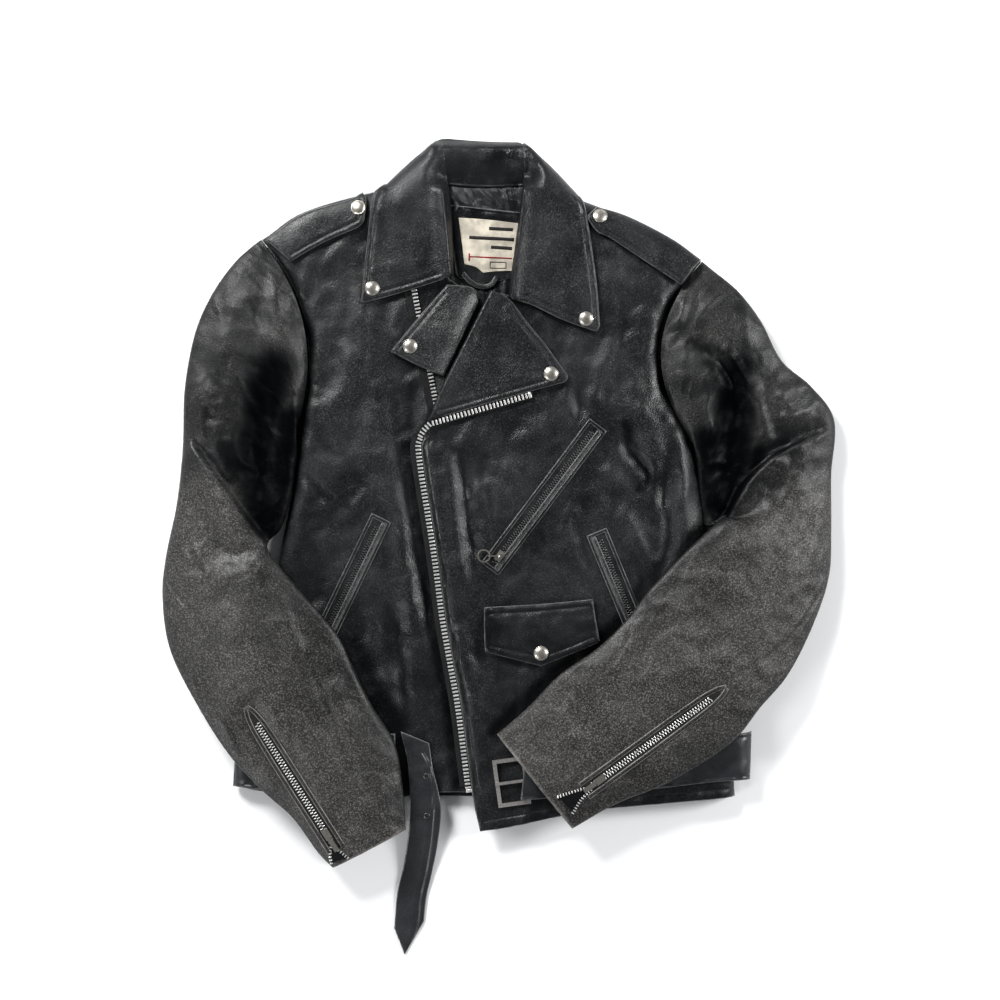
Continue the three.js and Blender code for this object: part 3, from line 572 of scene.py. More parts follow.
# %% The folds of the body: a line, its width, its height, in millimetres
FOLDS = [
    ([(-150, 290), (-140, 220), (-158, 150), (-170, 90)], 17, 3.2),
    ([(-112, 210), (-122, 150), (-130, 95), (-122, 50)], 13, 2.4),
    ([(-118, 120), (-108, 60), (-98, 0), (-86, -70), (-80, -130)], 10, 2.8),
    ([(-96, 90), (-90, 30), (-76, -40), (-64, -110)], 6, -2.2),
    ([(-200, 110), (-176, 86), (-150, 74)], 8, 2.4),
    ([(-205, 82), (-180, 58), (-160, 40)], 7, -2.2),
    ([(-128, -90), (-118, -130), (-112, -190)], 9, 2.4),
    ([(-104, -60), (-98, -110), (-92, -165)], 6, -1.8),
    ([(-56, 104), (-48, 70), (-46, 20), (-36, -30), (-30, -62)], 7, 2.4),
    ([(-42, 96), (-34, 60), (-30, 20), (-20, -20), (-16, -50)], 5, -2.6),
    ([(-26, 80), (-16, 40), (-12, 8), (-2, -30)], 6, 2.0),
    ([(-40, -60), (-34, -110), (-24, -160), (-18, -215)], 8, 1.8),
    ([(10, 20), (0, -5), (-8, -45)], 6, -1.6),
    ([(112, 200), (98, 160), (100, 130)], 10, 2.6),
    ([(128, 190), (140, 150), (152, 110), (150, 70)], 10, 3.0),
    ([(131, 117), (128, 100), (140, 86), (150, 74), (146, 60), (136, 54)], 5.5, -3.8),
    ([(121, 38), (133, 21), (146, -7), (152, -30)], 7, 2.8),
    ([(104, 86), (112, 70), (120, 52)], 8, 2.6),
    ([(181, 100), (184, 60), (184, 22), (182, 2)], 7, 3.4),
    ([(168, 90), (166, 50), (170, 18), (164, -14)], 6, -2.6),
    ([(60, 148), (48, 128), (30, 112), (8, 100)], 9, 2.4),
    ([(76, 160), (84, 136), (76, 118)], 6, -2.2),
    ([(20, 96), (6, 66), (2, 36)], 8, 2.2),
    ([(150, 250), (140, 220), (148, 186)], 12, 2.2),
    ([(96, 30), (106, 4), (104, -26)], 6, 2.0),
    ([(78, 24), (88, -6), (96, -30)], 5, -1.8),
    ([(60, -128), (56, -160), (62, -200)], 9, 1.8),
    ([(20, -128), (14, -160), (18, -204)], 7, -1.4),
    ([(-170, 250), (-186, 200), (-190, 150)], 12, 2.4),
]
CALM = [(zip_ends(CHEST, 6), 15), (zip_ends(HAND_RIGHT, 6), 14), (zip_ends(HAND_LEFT, 6), 14)]
FOLDS = [(smooth(line, 6.0), width, height) for line, width, height in FOLDS]


def ridge(points, line, width, height):
    far, share, _ = from_line(points, line)
    ends = step_up(np.minimum(share, 1 - share), 0.0, 0.3)
    return height * np.exp(-(far / width) ** 2) * (0.25 + 0.75 * ends)


def rumple(points, scale, seed, detail=3):
    """A slow noise from -1 to 1 at each point; scale is the size of its lumps in millimetres."""
    return np.array([noise.fractal(Vector((x / scale, y / scale, seed)), 0.8, 2.0, detail) for x, y in points])


def crests(points, scale, seed, turn=0.0, stretch=1.0):
    """Long sharp crests with soft hollows between them, from 0 to 1. They run along turn, in radians."""
    c, s = math.cos(turn) / (scale * stretch), math.sin(turn) / (scale * stretch)
    a, b = math.cos(turn) / scale, math.sin(turn) / scale
    values = np.array([noise.noise(Vector((x * c + y * s, y * a - x * b, seed))) for x, y in points])
    return (1 - np.minimum(np.abs(values) * 2.2, 1)) ** 2


def drape(points):
    points = np.asarray(points, float)
    lift = 1.15 * sum(ridge(points, *fold) for fold in FOLDS)
    lift += 1.8 * rumple(points, 46, 3.7) + 0.5 * rumple(points, 13, 8.1)
    lift += 1.7 * crests(points, 34, 1.3, 1.25, 1.8) + 0.7 * crests(points, 15, 4.9, 1.0, 1.6) - 0.9
    for line, reach in CALM:
        far, _, _ = from_line(points, line)
        lift *= step_up(far, reach * 0.55, reach * 1.7)
    return np.clip(lift, -5.5, 4.8)


# %% [markdown]
# ## Cutting a panel
# A panel could be a plane with a subdivision modifier, but a grid can't follow a curved cut. Here the outline
# is filled with triangles by a constrained Delaunay triangulation, with closer rows of points at the edge
# and along the stitch lines, so that the edge can roll over and the seams can pull in. Two layers of it,
# joined along the cut, make a closed sheet with its real thickness.

# %% Fill an outline
# Rows of a grid of even triangles are this share of their spacing apart
ROW_GAP = 0.866


def field(edge, step, jitter=0.18, seed=1):
    low, high = edge.min(0), edge.max(0)
    draw = np.random.default_rng(seed)
    spots = []
    for i, y in enumerate(np.arange(low[1], high[1], step * ROW_GAP)):
        x = np.arange(low[0] + (i % 2) * step / 2, high[0], step)
        spots.append(np.stack([x, np.full(len(x), y)], axis=1))
    spots = np.vstack(spots)
    return spots + draw.uniform(-jitter, jitter, spots.shape) * step


def fill(edge, holes=(), rows=(), step=5.0, rim=(0.5, 1.2, 2.2, 3.6), fine=()):
    """Points and triangles inside an outline. rows are (line, offsets, gap); fine is (polygon, step) pairs."""
    loops = [edge, *holes]
    kept = []
    for loop in loops:
        closed = np.vstack([loop[-1:], loop, loop[:1]])
        for offset in rim:
            for sign in (1, -1):
                kept.append((beside(closed, sign * offset)[1:-1], offset * 0.82, 0.0))
    for line, offsets, gap in rows:
        spaced = even(line, gap)
        for offset in offsets:
            kept.append((beside(spaced, offset), rim[0] * 0.9, 0.0))
    lines = [line for line, _, _ in rows]
    kept.append((field(edge, step), rim[-1] + step * 0.3, step * 0.42))
    for polygon, gap in fine:
        spots = field(np.array(polygon, float), gap, seed=2)
        kept.append((spots[inside(spots, polygon)], rim[-1] + gap * 0.3, gap * 0.42))
    all_points, taken = list(map(tuple, np.vstack(loops))), set()
    for spots, least, clear in kept:
        ok = inside(spots, edge)
        for hole in holes:
            ok &= ~inside(spots, hole)
        spots = spots[ok]
        for loop in loops:
            if len(spots):
                spots = spots[from_line(spots, loop, closed=True)[0] >= least]
        if clear:
            for line in lines:
                if len(spots):
                    spots = spots[from_line(spots, line)[0] >= clear + max(abs(o) for o in rows[0][1])]
        for x, y in spots:
            key = (round(x / 0.45), round(y / 0.45))
            if key not in taken:
                taken.add(key)
                all_points.append((x, y))
    links, start = [], 0
    for loop in loops:
        count = len(loop)
        links += [(start + i, start + (i + 1) % count) for i in range(count)]
        start += count
    result = delaunay_2d_cdt([Vector(p) for p in all_points], links, [], 1, 1e-5)
    points = np.array([tuple(v) for v in result[0]], float)
    faces = np.array([list(f) for f in result[2] if len(f) == 3], int)
    if holes:
        middle = points[faces].mean(1)
        for hole in holes:
            faces = faces[~inside(middle, hole)]
            middle = points[faces].mean(1)
    return points, faces


# %% Turn points and faces into an object
def mesh_object(name, points, faces, material, materials=None, shade=True):
    """points in millimetres. materials, if given, is a material number for each face."""
    mesh = bpy.data.meshes.new(name)
    mesh.from_pydata((np.asarray(points, float) * MM).tolist(), [], [list(map(int, f)) for f in faces])
    mesh.update()
    made = bpy.data.objects.new(name, mesh)
    bpy.context.scene.collection.objects.link(made)
    for one in material if isinstance(material, (list, tuple)) else [material]:
        mesh.materials.append(one)
    if materials is not None:
        mesh.polygons.foreach_set("material_index", np.asarray(materials, np.int32))
    if shade:
        mesh.shade_smooth()
    return made


def choose(made):
    """Makes this the only selected object, and the active one."""
    bpy.ops.object.select_all(action="DESELECT")
    made.select_set(True)
    bpy.context.view_layer.objects.active = made


def mark(made, name, values):
    layer = made.data.attributes.new(name, "FLOAT", "POINT")
    layer.data.foreach_set("value", np.asarray(values, np.float32))


def declare(edge):
    """Turns a piece's outline into an array and does nothing more with it."""
    edge = np.asarray(edge, float)


def settle(made, body, slot, *nodes):
    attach(made, body)
    if nodes:
        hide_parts(*nodes)
    return made


def painted_shade_from(points, hollows):
    """Painted shade at each point, from 0 to 1, strongest along each line. Entries are (line, width, depth)."""
    strongest_shade = np.zeros(len(points))
    for line, width, depth in hollows:
        strongest_shade = np.maximum(strongest_shade, depth * np.exp(-(from_line(points, smooth(line, 5.0))[0] / width) ** 4))
    return strongest_shade


# %% A whole panel
def panel(name, edge, level, thick=LEATHER, holes=(), stitches=(), step=5.0, fine=(), material=None, roll=2.2,
        fade_and_painted_light=None, groove=0.55, puff=0.5, wear=1.0, edge_wear=True, rows=(), quiet=(),
        painted_shade=()):
    """level is a function of points that gives the height of the panel's underside."""
    offsets = (-1.7, -0.8, 0, 0.8, 1.7)
    lines = [(line, offsets, 2.6) for line in stitches] + list(rows)
    flat, faces = fill(edge, holes, lines, step, fine=fine)
    far = from_line(flat, edge, closed=True)[0]
    for hole in holes:
        far = np.minimum(far, from_line(flat, hole, closed=True)[0])
    rounding = rolled(far, roll)
    middle = level(flat) + thick / 2
    top = middle + thick / 2 * rounding
    seam = np.full(len(flat), 99.0)
    for line in stitches:
        seam = np.minimum(seam, from_line(flat, line)[0])
    top -= groove * np.exp(-(seam / 0.9) ** 2)
    if stitches:
        top += puff * np.exp(-((seam - 3.0) / 1.6) ** 2) * rounding
    bottom = middle - thick / 2 * rounding
    rim = far < 1e-4
    count = len(flat)
    other = np.where(rim, np.arange(count), -1)
    free = np.flatnonzero(~rim)
    other[free] = count + np.arange(len(free))
    points = np.vstack([np.column_stack([flat, np.where(rim, middle, top)]), np.column_stack([flat[free],
        bottom[free]])])
    a, b, c = flat[faces[:, 0]], flat[faces[:, 1]], flat[faces[:, 2]]
    turned = np.cross(b - a, c - a) < 0
    faces[turned] = faces[turned][:, ::-1]
    under = other[faces][:, ::-1]
    made = mesh_object(name, points, np.vstack([faces, under]), material or BODY_LEATHER)
    worn = np.exp(-(far / 1.3) ** 2) * (1.0 if edge_wear else 0.0) + 0.35 * np.exp(-((seam - 1.8) / 1.1) ** 2)
    for line in quiet:
        worn = worn * step_up(from_line(flat, smooth(line, 4.0))[0], 5, 14)
    worn = np.clip(worn * wear, 0, 1)
    mark(made, "wear", np.concatenate([worn, worn[free] * 0]))
    tone = fade_and_painted_light(flat) if fade_and_painted_light is not None else np.zeros(count)
    mark(made, "fade_and_painted_light", np.concatenate([tone, tone[free]]))
    # Painted shade along the given lines: it darkens the colour and weakens the reflection there.
    dark = painted_shade_from(flat, painted_shade)
    mark(made, "painted_shade", np.concatenate([dark, dark[free]]))
    return made


# %% [markdown]
# ## Stitches
# Topstitching is a row of short thread bars that sit in a groove. One stitch is a small capsule, and a row of
# them is one mesh: it costs little and it catches the light as real thread does.

# %% Stitch rows
def stitch_points():
    ring = [(0, -0.24), (0.17, -0.17), (0.24, 0), (0.17, 0.17), (0, 0.24), (-0.17, 0.17), (-0.24, 0),
        (-0.17, -0.17)]
    half = 1.15
    sections = ((-half, 0.5), (-half * 0.7, 1.0), (half * 0.7, 1.0), (half, 0.5))
    points = [(x, y * share, z * share) for x, share in sections for y, z in ring]
    faces = []
    for r in range(3):
        for i in range(8):
            j = (i + 1) % 8
            faces.append((r * 8 + i, r * 8 + j, r * 8 + 8 + j, r * 8 + 8 + i))
    faces += [tuple(reversed(range(8))), tuple(range(24, 32))]
    return np.array(points), faces


STITCH = stitch_points()


def thread(name, runs, body, slot="leather", pitch=3.1):
    """runs are (line, level function): a row of stitches along each."""
    points, faces = [], []
    base, shape = STITCH
    for line, level in runs:
        spots = even(line, pitch)
        middle = (spots[:-1] + spots[1:]) / 2
        way = spots[1:] - spots[:-1]
        way /= np.maximum(np.linalg.norm(way, axis=1, keepdims=True), 1e-9)
        height = level(middle)
        slope = (level(middle + way) - level(middle - way)) / 2
        for (x, y), (ux, uy), z, s in zip(middle, way, height, slope):
            start = len(points) * len(base)
            local = base.copy()
            points.append(np.column_stack([
                x + local[:, 0] * ux - local[:, 1] * uy,
                y + local[:, 0] * uy + local[:, 1] * ux,
                z + local[:, 2] + local[:, 0] * s + 0.05]))
            faces += [[start + i for i in f] for f in shape]
    settle(mesh_object(name, np.vstack(points), faces, THREAD), body, slot)


# %% [markdown]
# ## The back, its lining and the neck
# The back lies on the floor and rises over the belt. The satin lining shows only in the neck opening, where it
# gathers under the collar seam; there its folds are modelled close together.

# %% Back panel
def back_level(points):
    return 3.0 * step_up(-points[:, 1], 150, 184)


back_edge = outline([(-62, 371), (-16, 366), (30, 367)], LEFT_SHOULDER, LEFT_ARMHOLE, LEFT_SIDE,
    [(238, -250), (100, -252), (-100, -250), (-254, -243)], RIGHT_SIDE[::-1], RIGHT_ARMHOLE[::-1],
    RIGHT_SHOULDER[::-1], step=6.0)
back = panel("back", back_edge, back_level, step=11.0)
settle(back, "jacket", "leather", "back_panel")
declare(back_edge)

# %% Satin lining with gathers at the neck
GATHERS = [
    ([(-46, 366), (-40, 352), (-30, 344)], 2.6, 1.9), ([(-34, 367), (-30, 352), (-22, 342)], 2.2, 1.7),
    ([(-22, 366), (-14, 354), (-2, 345)], 2.8, 2.1), ([(-8, 366), (4, 352), (14, 344)], 2.4, 1.8),
    ([(6, 367), (8, 354), (20, 346)], 2.2, 1.6), ([(-52, 360), (-44, 346), (-46, 334)], 2.4, 1.6),
    ([(-28, 362), (-24, 347), (-26, 338)], 1.6, -1.2), ([(-2, 362), (6, 349), (6, 340)], 1.6, -1.2),
    ([(-40, 262), (-30, 250), (-24, 232)], 3.0, 2.0), ([(-22, 268), (-16, 250), (-14, 228)], 3.0, 1.8),
    ([(-6, 270), (-4, 250), (-10, 226)], 3.4, 2.0), ([(6, 276), (6, 258), (0, 240)], 2.6, 1.6),
]
GATHERS = [(smooth(line, 2.0), width, height) for line, width, height in GATHERS]


def lining_level(points):
    calm = LINING_LEVEL + back_level(points)
    lift = sum(ridge(points, *gather) for gather in GATHERS)
    near = step_up(points[:, 1], 190, 230)
    return calm + near * (1.6 + lift + 0.5 * rumple(points, 7, 2.2)) * (1 - 0.75 * step_up(points[:, 1], 356,
        372))


lining_edge = outline([(-54, 371), (-16, 367), (24, 368)], [(24, 368), (90, 343), (166, 306), (192, 280)],
    [(192, 280), (160, 200), (186, 105)], [(186, 105), (200, 0), (218, -110), (226, -240)],
    [(226, -240), (0, -244), (-244, -238)], [(-244, -238), (-230, -120), (-212, -12), (-195, 115)],
    [(-195, 115), (-190, 200), (-230, 304)], [(-230, 304), (-190, 330), (-126, 350), (-54, 371)], step=6.0)
neck_window = np.array([(-64, 214), (34, 214), (40, 372), (-70, 372)], float)
lining = panel("lining_back", lining_edge, lining_level, thick=0.8, step=12.0, fine=[(neck_window, 1.9)],
    material=SATIN, roll=0.8, edge_wear=False)
settle(lining, "jacket", "satin", "back_lining")
declare(lining_edge)
print("lining:", len(lining.data.polygons), "faces")

# %% Collar behind the neck: seam, stand and the fold over its top
def stand_level(points):
    y = points[:, 1]
    up = 4.5 + 12.5 * step_up(y, 366, 392) * (1 + 0.2 * step_up(points[:, 0], 0, 30))
    over = step_up(y, 398, 413)
    return up - 14.5 * over**1.6 + 0.8 * rumple(points, 16, 5.5) - 0.8 * ridge(points, STAND_CREASE, 1.6, 1.0)


STAND_CREASE = smooth([(12, 404), (4, 392), (2, 384), (20, 384)], 2.0)
stand_edge = outline([(-60, 366), (-16, 363), (33, 365)], [(33, 365), (38, 384), (31, 401), (20, 408.5)],
    [(20, 408.5), (-16, 410), (-52, 413)], [(-52, 413), (-62, 411), (-70, 398), (-66, 380), (-60, 366)],
    step=3.0)
stand_seam = smooth([(-60, 369), (-16, 366), (34, 368)], 3.0)
stand = panel("collar_behind_neck", stand_edge, stand_level, step=3.5, stitches=[stand_seam],
    fade_and_painted_light=lambda p: np.clip(0.12 + 0.3 * rumple(p, 14, 2.8), 0, 0.6), wear=0.5)
settle(stand, "jacket", "leather", "collar_back")
declare(stand_edge)

# %% The leather patch and the label
PATCH_LEVEL, LABEL_LEVEL = low_of("label_patch"), low_of("label")


def patch_level(points):
    return PATCH_LEVEL + 1.2 + 1.2 * rumple(points, 26, 6.2) + 1.5 * step_up(points[:, 0], -30, 14)


patch_edge = outline([(-51, 346), (-20, 343), (23, 338)], [(23, 338), (21, 305), (16, 272)],
    [(16, 272), (-8, 268), (-38, 271), (-44, 276)], [(-44, 276), (-48, 310), (-51, 346)], step=2.0)
patch_stitch = smooth([(14, 336), (-20, 340), (-48, 343), (-46, 310), (-41, 277)], 2.0)
patch = panel("label_patch_leather", patch_edge, patch_level, thick=1.2, step=3.0, stitches=[patch_stitch],
    roll=1.0, groove=0.3, puff=0.25)
settle(patch, "jacket", "leather", "label_patch")
declare(patch_edge)
label_edge = outline([(-41, 333), (-12, 331), (20, 327)], [(20, 327), (17, 304), (14, 279)],
    [(14, 279), (-2, 278.5), (-16, 277)], [(-16, 277), (-24, 283), (-35, 286)],
    [(-35, 286), (-38, 310), (-41, 333)],
    step=1.6)


def label_level(points):
    return patch_level(points) + 1.35 + 0.25 * rumple(points, 9, 1.1)


label = panel("blank_label", label_edge, label_level, thick=0.5, step=2.0, roll=0.5, material=LABEL_CLOTH,
    edge_wear=False)
settle(label, "jacket", "label", "label")
declare(label_edge)


def bars(name, lines, width, material):
    """Plain woven bars in place of a maker's lettering."""
    points, faces = [], []
    for line in lines:
        spots = even(line, 2.0)
        left, right = beside(spots, width / 2), beside(spots, -width / 2)
        for edge, lift in ((left, 0.56), (right, 0.56)):
            points.append(np.column_stack([edge, label_level(edge) + lift]))
        start = sum(len(p) for p in points[:-2])
        n = len(spots)
        faces += [(start + i, start + n + i, start + n + i + 1, start + i + 1) for i in range(n - 1)]
    made = mesh_object(name, np.vstack(points), faces, material)
    thicken = made.modifiers.new("yarn", "SOLIDIFY")
    thicken.thickness = 0.0002
    thicken.offset = 1
    settle(made, "jacket", "label")


hanger_line = smooth([(-37, 277), (-29, 268), (-18, 263), (-8, 265), (-2, 273)], 2.0)


def hanger_level(points):
    return patch_level(points) + 1.5 + 1.4 * step_up(-points[:, 1], -276, -262)


hanger_edge = np.vstack([beside(hanger_line, 2.6), beside(hanger_line, -2.6)[::-1]])
hanger = panel("hanger_loop", hanger_edge, hanger_level, thick=1.2, step=2.2, roll=1.0,
    fade_and_painted_light=flat_at(0.2))
settle(hanger, "jacket", "leather")
bars("label_bars", [[(-10, 322), (14, 320.5)], [(-30, 313), (15, 310.5)], [(-8, 303), (13, 301.5)]], 3.2,
    LABEL_DARK)
bars("label_red_line", [[(-30, 297), (-30, 289)], [(-30, 293.5), (13, 291.5)]], 1.3, LABEL_RED)
bars("label_size_box", [[(-9, 288), (7, 287.6)], [(-9, 282), (7, 281.6)], [(-9, 288), (-9, 282)], [(7, 287.6),
    (7, 281.6)]], 0.7, LABEL_DARK)

# %% [markdown]
# ## The fronts
# Each front is one panel from the shoulder to the hem. Towards the side seam and the shoulder it rolls down to
# the back, and at the armhole it dips into the seam, which gives the jacket its soft shoulders.

# %% How a front's height changes near its seams
def front_level(base, side, shoulder, armhole, extra=None):
    side, shoulder = smooth(side, 8.0), smooth(shoulder, 8.0)

    def level(points):
        height = base + drape(points)
        for line, reach, floor_level in ((side, 20, 5.2), (shoulder, 26, 3.6)):
            keep = rolled(from_line(points, line)[0], reach)
            height = floor_level + (height - floor_level) * keep
        far = from_line(points, armhole)[0]
        height = height - np.minimum(height - 9, 6.5) * np.exp(-(far / 4.2) ** 1.4)
        if extra is not None:
            height = extra(points, height)
        return height
    return level


def worn_body(points):
    """Crests of folds lose a little finish."""
    return np.clip(0.22 + 0.06 * drape(points), 0.03, 0.55)


right_level = front_level(RIGHT_FRONT, RIGHT_SIDE, RIGHT_SHOULDER, RIGHT_ARMHOLE)
left_level = front_level(LEFT_FRONT, LEFT_SIDE, LEFT_SHOULDER, LEFT_ARMHOLE)

# %% The wearer's right front
right_edge = outline(RIGHT_SHOULDER, RIGHT_ARMHOLE, RIGHT_SIDE,
    [(-254, -243), (-220, -247), (-150, -256), (-123, -262), (-100, -252), (-58, -246), (46, -247)],
    [(46, -247), (4, -30), (-33, 170)], [(-33, 170), (-18, 250)], [(-18, 250), (-50, 270)],
    [(-50, 270), (-56, 310), (-62, 371)], step=4.0)
# Lines of painted shade on the right front: along the armhole, beside the zip and in a few folds.
RIGHT_SHADE_LINES = [([(-217, 240), (-193, 215), (-194, 180), (-200, 130), (-210, 60), (-226, -10)], 7, 0.75),
    ([(-90, 104), (-86, 68), (-80, 30), (-73, -16), (-66, -70), (-58, -116), (-50, -162), (-42, -236)], 7, 0.7),
    ([(-88, 205), (-88, 170), (-90, 120)], 5, 0.5), ([(-120, -150), (-104, -175), (-98, -240)], 12, 0.75),
    ([(-144, -96), (-118, -150)], 8, 0.6)]
right_front = panel("right_front", right_edge, right_level, step=5.0, fade_and_painted_light=worn_body, painted_shade=RIGHT_SHADE_LINES)
settle(right_front, "jacket", "leather", "front_right", "front_right_side")
declare(right_edge)

# %% The wearer's left front, on top
zip_side = beside(ZIP_LINE, 3.3)
left_edge = outline(LEFT_SHOULDER, LEFT_ARMHOLE, LEFT_SIDE,
    [(238, -250), (170, -256), (103, -262), (57, -270), (10, -280), (-19, -284)],
    [(-19, -284), (-24, -262), (-28, -240)],
    zip_side[::-1], [(-72, 126), (-58, 160), (-35, 206), (-9, 258)], [(-9, 258), (10, 253)],
    [(10, 253), (22, 310), (30, 367)], step=4.0)
zip_stitch = beside(ZIP_LINE, 3.3 + 6.5)
hem_stitch_left = smooth([(-15, -274), (57, -261), (103, -253), (170, -247), (230, -242)], 3.0)
# Lines of painted shade on the left front: along the armhole, in folds and beside the lapel's fold.
LEFT_SHADE_LINES = [([(172, 246), (161, 210), (163, 172), (180, 136), (197, 100), (206, 50), (214, 10)], 4.5, 0.7),
    ([(126, 126), (136, 96), (147, 78), (142, 60)], 5, 0.7),
    ([(128, -66), (100, -92), (60, -122), (20, -160), (-4, -184)],
    8, 0.75), ([(-4, 246), (-30, 200), (-60, 140)], 5, 0.8)]
left_front = panel("left_front", left_edge, left_level, step=4.6, stitches=[zip_stitch, hem_stitch_left],
    fade_and_painted_light=worn_body, painted_shade=LEFT_SHADE_LINES)
settle(left_front, "jacket", "leather", "front_left", "front_left_side")
declare(left_edge)
thread("front_thread", [(zip_stitch, lambda p: left_level(p) + LEATHER - STITCH_SUNK),
    (hem_stitch_left, lambda p: left_level(p) + LEATHER - STITCH_SUNK)], "jacket")
print("fronts:", len(right_front.data.polygons), len(left_front.data.polygons), "faces")

# %% [markdown]
# ## Collar, lapels, shoulder straps and flap
# These are double leather with a turned, topstitched edge. Along its fold each one rolls over instead of
# creasing, so a row of points follows the fold.

# %% A folded leaf
def leaf_level(base, fold=None, roll_up=4.0, stand=None, drops=(), curl=(), meet=None):
    """The leaf rises into a roll at its fold. stand is how steeply it goes down past the fold. Above the neck
    seam the leaf's inner edge, meet, comes down flush with the band behind the neck."""
    fold_line = None if fold is None else smooth(fold, 3.0)

    def level(points):
        height = base + 0.35 * drape(points)
        if fold_line is not None:
            far, _, side = from_line(points, fold_line)
            height = height + roll_up * np.exp(-(far / 9.0) ** 2)
        for line, reach, down in drops:
            height = height - down * (1 - rolled(from_line(points, smooth(line, 3.0))[0], reach))
        if stand is not None:
            sign, steep = stand
            past = np.where(side == sign, far, 0.0)
            height = height - np.minimum(past * steep, np.maximum(height - 6.0, 0))
        for spot, reach, up in curl:
            height = height + up * np.exp(-(np.linalg.norm(points - np.array(spot), axis=1) / reach) ** 2)
        if meet is not None:
            near = 1 - step_up(from_line(points, smooth(meet, 3.0))[0], 4, 24)
            share = near * step_up(points[:, 1], 356, 378)
            height = height * (1 - share) + (stand_level(points) - 0.4) * share
        return height
    return level


def leaf(name, edge, level, fold, stitch_lines, node_name, body, hinge=None, fade_and_painted_light=None, thick=LEATHER + 0.8,
        step=3.4, wear=1.0, quiet=()):
    rows = [] if fold is None else [(smooth(fold, 3.0), (-6, -4.5, -3, -1.5, 0, 1.5, 3, 4.5, 6), 3.0)]
    made = panel(name, edge, level, thick=thick, stitches=stitch_lines, step=step, rows=rows, fade_and_painted_light=fade_and_painted_light,
        wear=wear,
        quiet=quiet)
    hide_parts(node_name)
    runs = [(line, lambda p: level(p) + thick - STITCH_SUNK) for line in stitch_lines]
    declare(edge)
    if hinge is None:
        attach(made, body)
    else:
        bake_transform(made)
    if runs:
        thread(name + "_thread", runs, body)
    return made


def hinge_points(line, towards, before, after, level):
    """Two points either side of a fold; no blend uses them."""
    a, b = np.array(line[0], float), np.array(line[-1], float)
    way = (b - a) / np.linalg.norm(b - a)
    normal = np.array([-way[1], way[0]])
    middle = (a + b) / 2
    if (np.array(towards) - middle) @ normal < 0:
        normal = -normal
    s, e = middle + normal * before, middle + normal * after
    return (s[0] * MM, s[1] * MM, level * MM), (e[0] * MM, e[1] * MM, level * MM)


def soft_fade(points):
    return np.clip(0.34 + 0.22 * rumple(points, 30, 9.3), 0.05, 0.8)


# %% Collar, wearer's right
collar_r_level = leaf_level(RIGHT_LEAF, RIGHT_FOLD, roll_up=4.5, stand=(1, 2.0),
    meet=[(-56, 408), (-52, 375), (-50, 350)], drops=[([(-63, 411), (-88, 389), (-113, 367)], 24, 15.5)],
    curl=[((-138, 249), 16, 1.2)])
collar_r_edge = outline([(-63, 411), (-90, 388), (-113, 367)],
    [(-113, 367), (-122, 360), (-127, 350), (-133, 300), (-138, 249)],
    [(-138, 249), (-134, 246), (-94, 257), (-52, 270)], [(-52, 270), (-45, 274)],
    [(-45, 274), (-47, 330), (-52, 375), (-56, 408)], [(-56, 408), (-63, 411)], step=3.0)
collar_r_stitch = [smooth([(-110, 361), (-121, 349), (-127, 300), (-131, 256)], 3.0),
    smooth([(-130, 254), (-94, 263.5), (-58, 275)], 3.0)]
leaf("collar_right_leaf", collar_r_edge, collar_r_level, RIGHT_FOLD, collar_r_stitch, "collar_right",
    "collar_right",
    hinge_points(RIGHT_FOLD, (-120, 320), -4, 10, RIGHT_LEAF), soft_fade,
    quiet=[[(-45, 274), (-47, 330), (-56, 408), (-63, 411)]])

# %% Collar, wearer's left
collar_l_level = leaf_level(LEFT_LEAF, LEFT_FOLD, roll_up=3.0, stand=(-1, 3.0),
    meet=[(25, 408), (24, 367), (20, 345)], drops=[([(25, 408), (55, 382), (80, 355)], 24, 22)],
    curl=[((101, 219), 16, 1.5)])
collar_l_edge = outline([(25, 408), (52, 384), (80, 355)],
    [(80, 355), (86, 342), (93, 300), (98, 262), (101, 222)],
    [(101, 222), (98, 217), (94, 217), (61, 229), (32, 243), (13, 248)],
    [(13, 248), (9, 252)], [(9, 252), (17, 310), (24, 367), (23, 404)], [(23, 404), (25, 408)], step=3.0)
collar_l_stitch = [smooth([(74, 351), (80, 340), (87, 300), (92, 262), (95, 230)], 3.0),
    smooth([(90, 226), (62, 236), (34, 249.5), (20, 253)], 3.0)]
leaf("collar_left_leaf", collar_l_edge, collar_l_level, LEFT_FOLD, collar_l_stitch, "collar_left",
    "collar_left",
    hinge_points(LEFT_FOLD, (80, 320), -4, 10, LEFT_LEAF), soft_fade,
    quiet=[[(9, 252), (17, 310), (24, 367), (25, 408)]])

# %% Lapels
RIGHT_LAPEL_FOLD = [(-20, 244), (-36, 210), (-54, 171)]
lapel_r_level = leaf_level(RIGHT_LEAF, RIGHT_LAPEL_FOLD, roll_up=3.4, curl=[((-52, 214), 20, 3.4)],
    drops=[(RIGHT_LAPEL_FOLD, 4, 4.0)])
lapel_r_edge = outline([(-20, 244), (-22, 256), (-30, 262), (-52, 264)], [(-52, 264), (-80, 232), (-109, 197)],
    [(-109, 197), (-84, 184), (-54, 171)], [(-54, 171), (-36, 210), (-20, 244)], step=2.6)
lapel_r_stitch = [smooth([(-54, 255), (-78, 226), (-100, 200)], 3.0), smooth([(-96, 198), (-70, 185)], 3.0)]
# The right lapel's much lighter tone is worn finish with a painted highlight over it, for the light on the
# middle of the lapel.
leaf("lapel_right_leaf", lapel_r_edge, lapel_r_level, RIGHT_LAPEL_FOLD, lapel_r_stitch, "lapel_right",
    "lapel_right",
    hinge_points(RIGHT_LAPEL_FOLD, (-80, 210), -2, 5, RIGHT_LEAF),
    lambda p: np.clip(0.6 + 0.3 * rumple(p, 20, 4.4),
        0, 1), step=2.8, quiet=[RIGHT_LAPEL_FOLD])

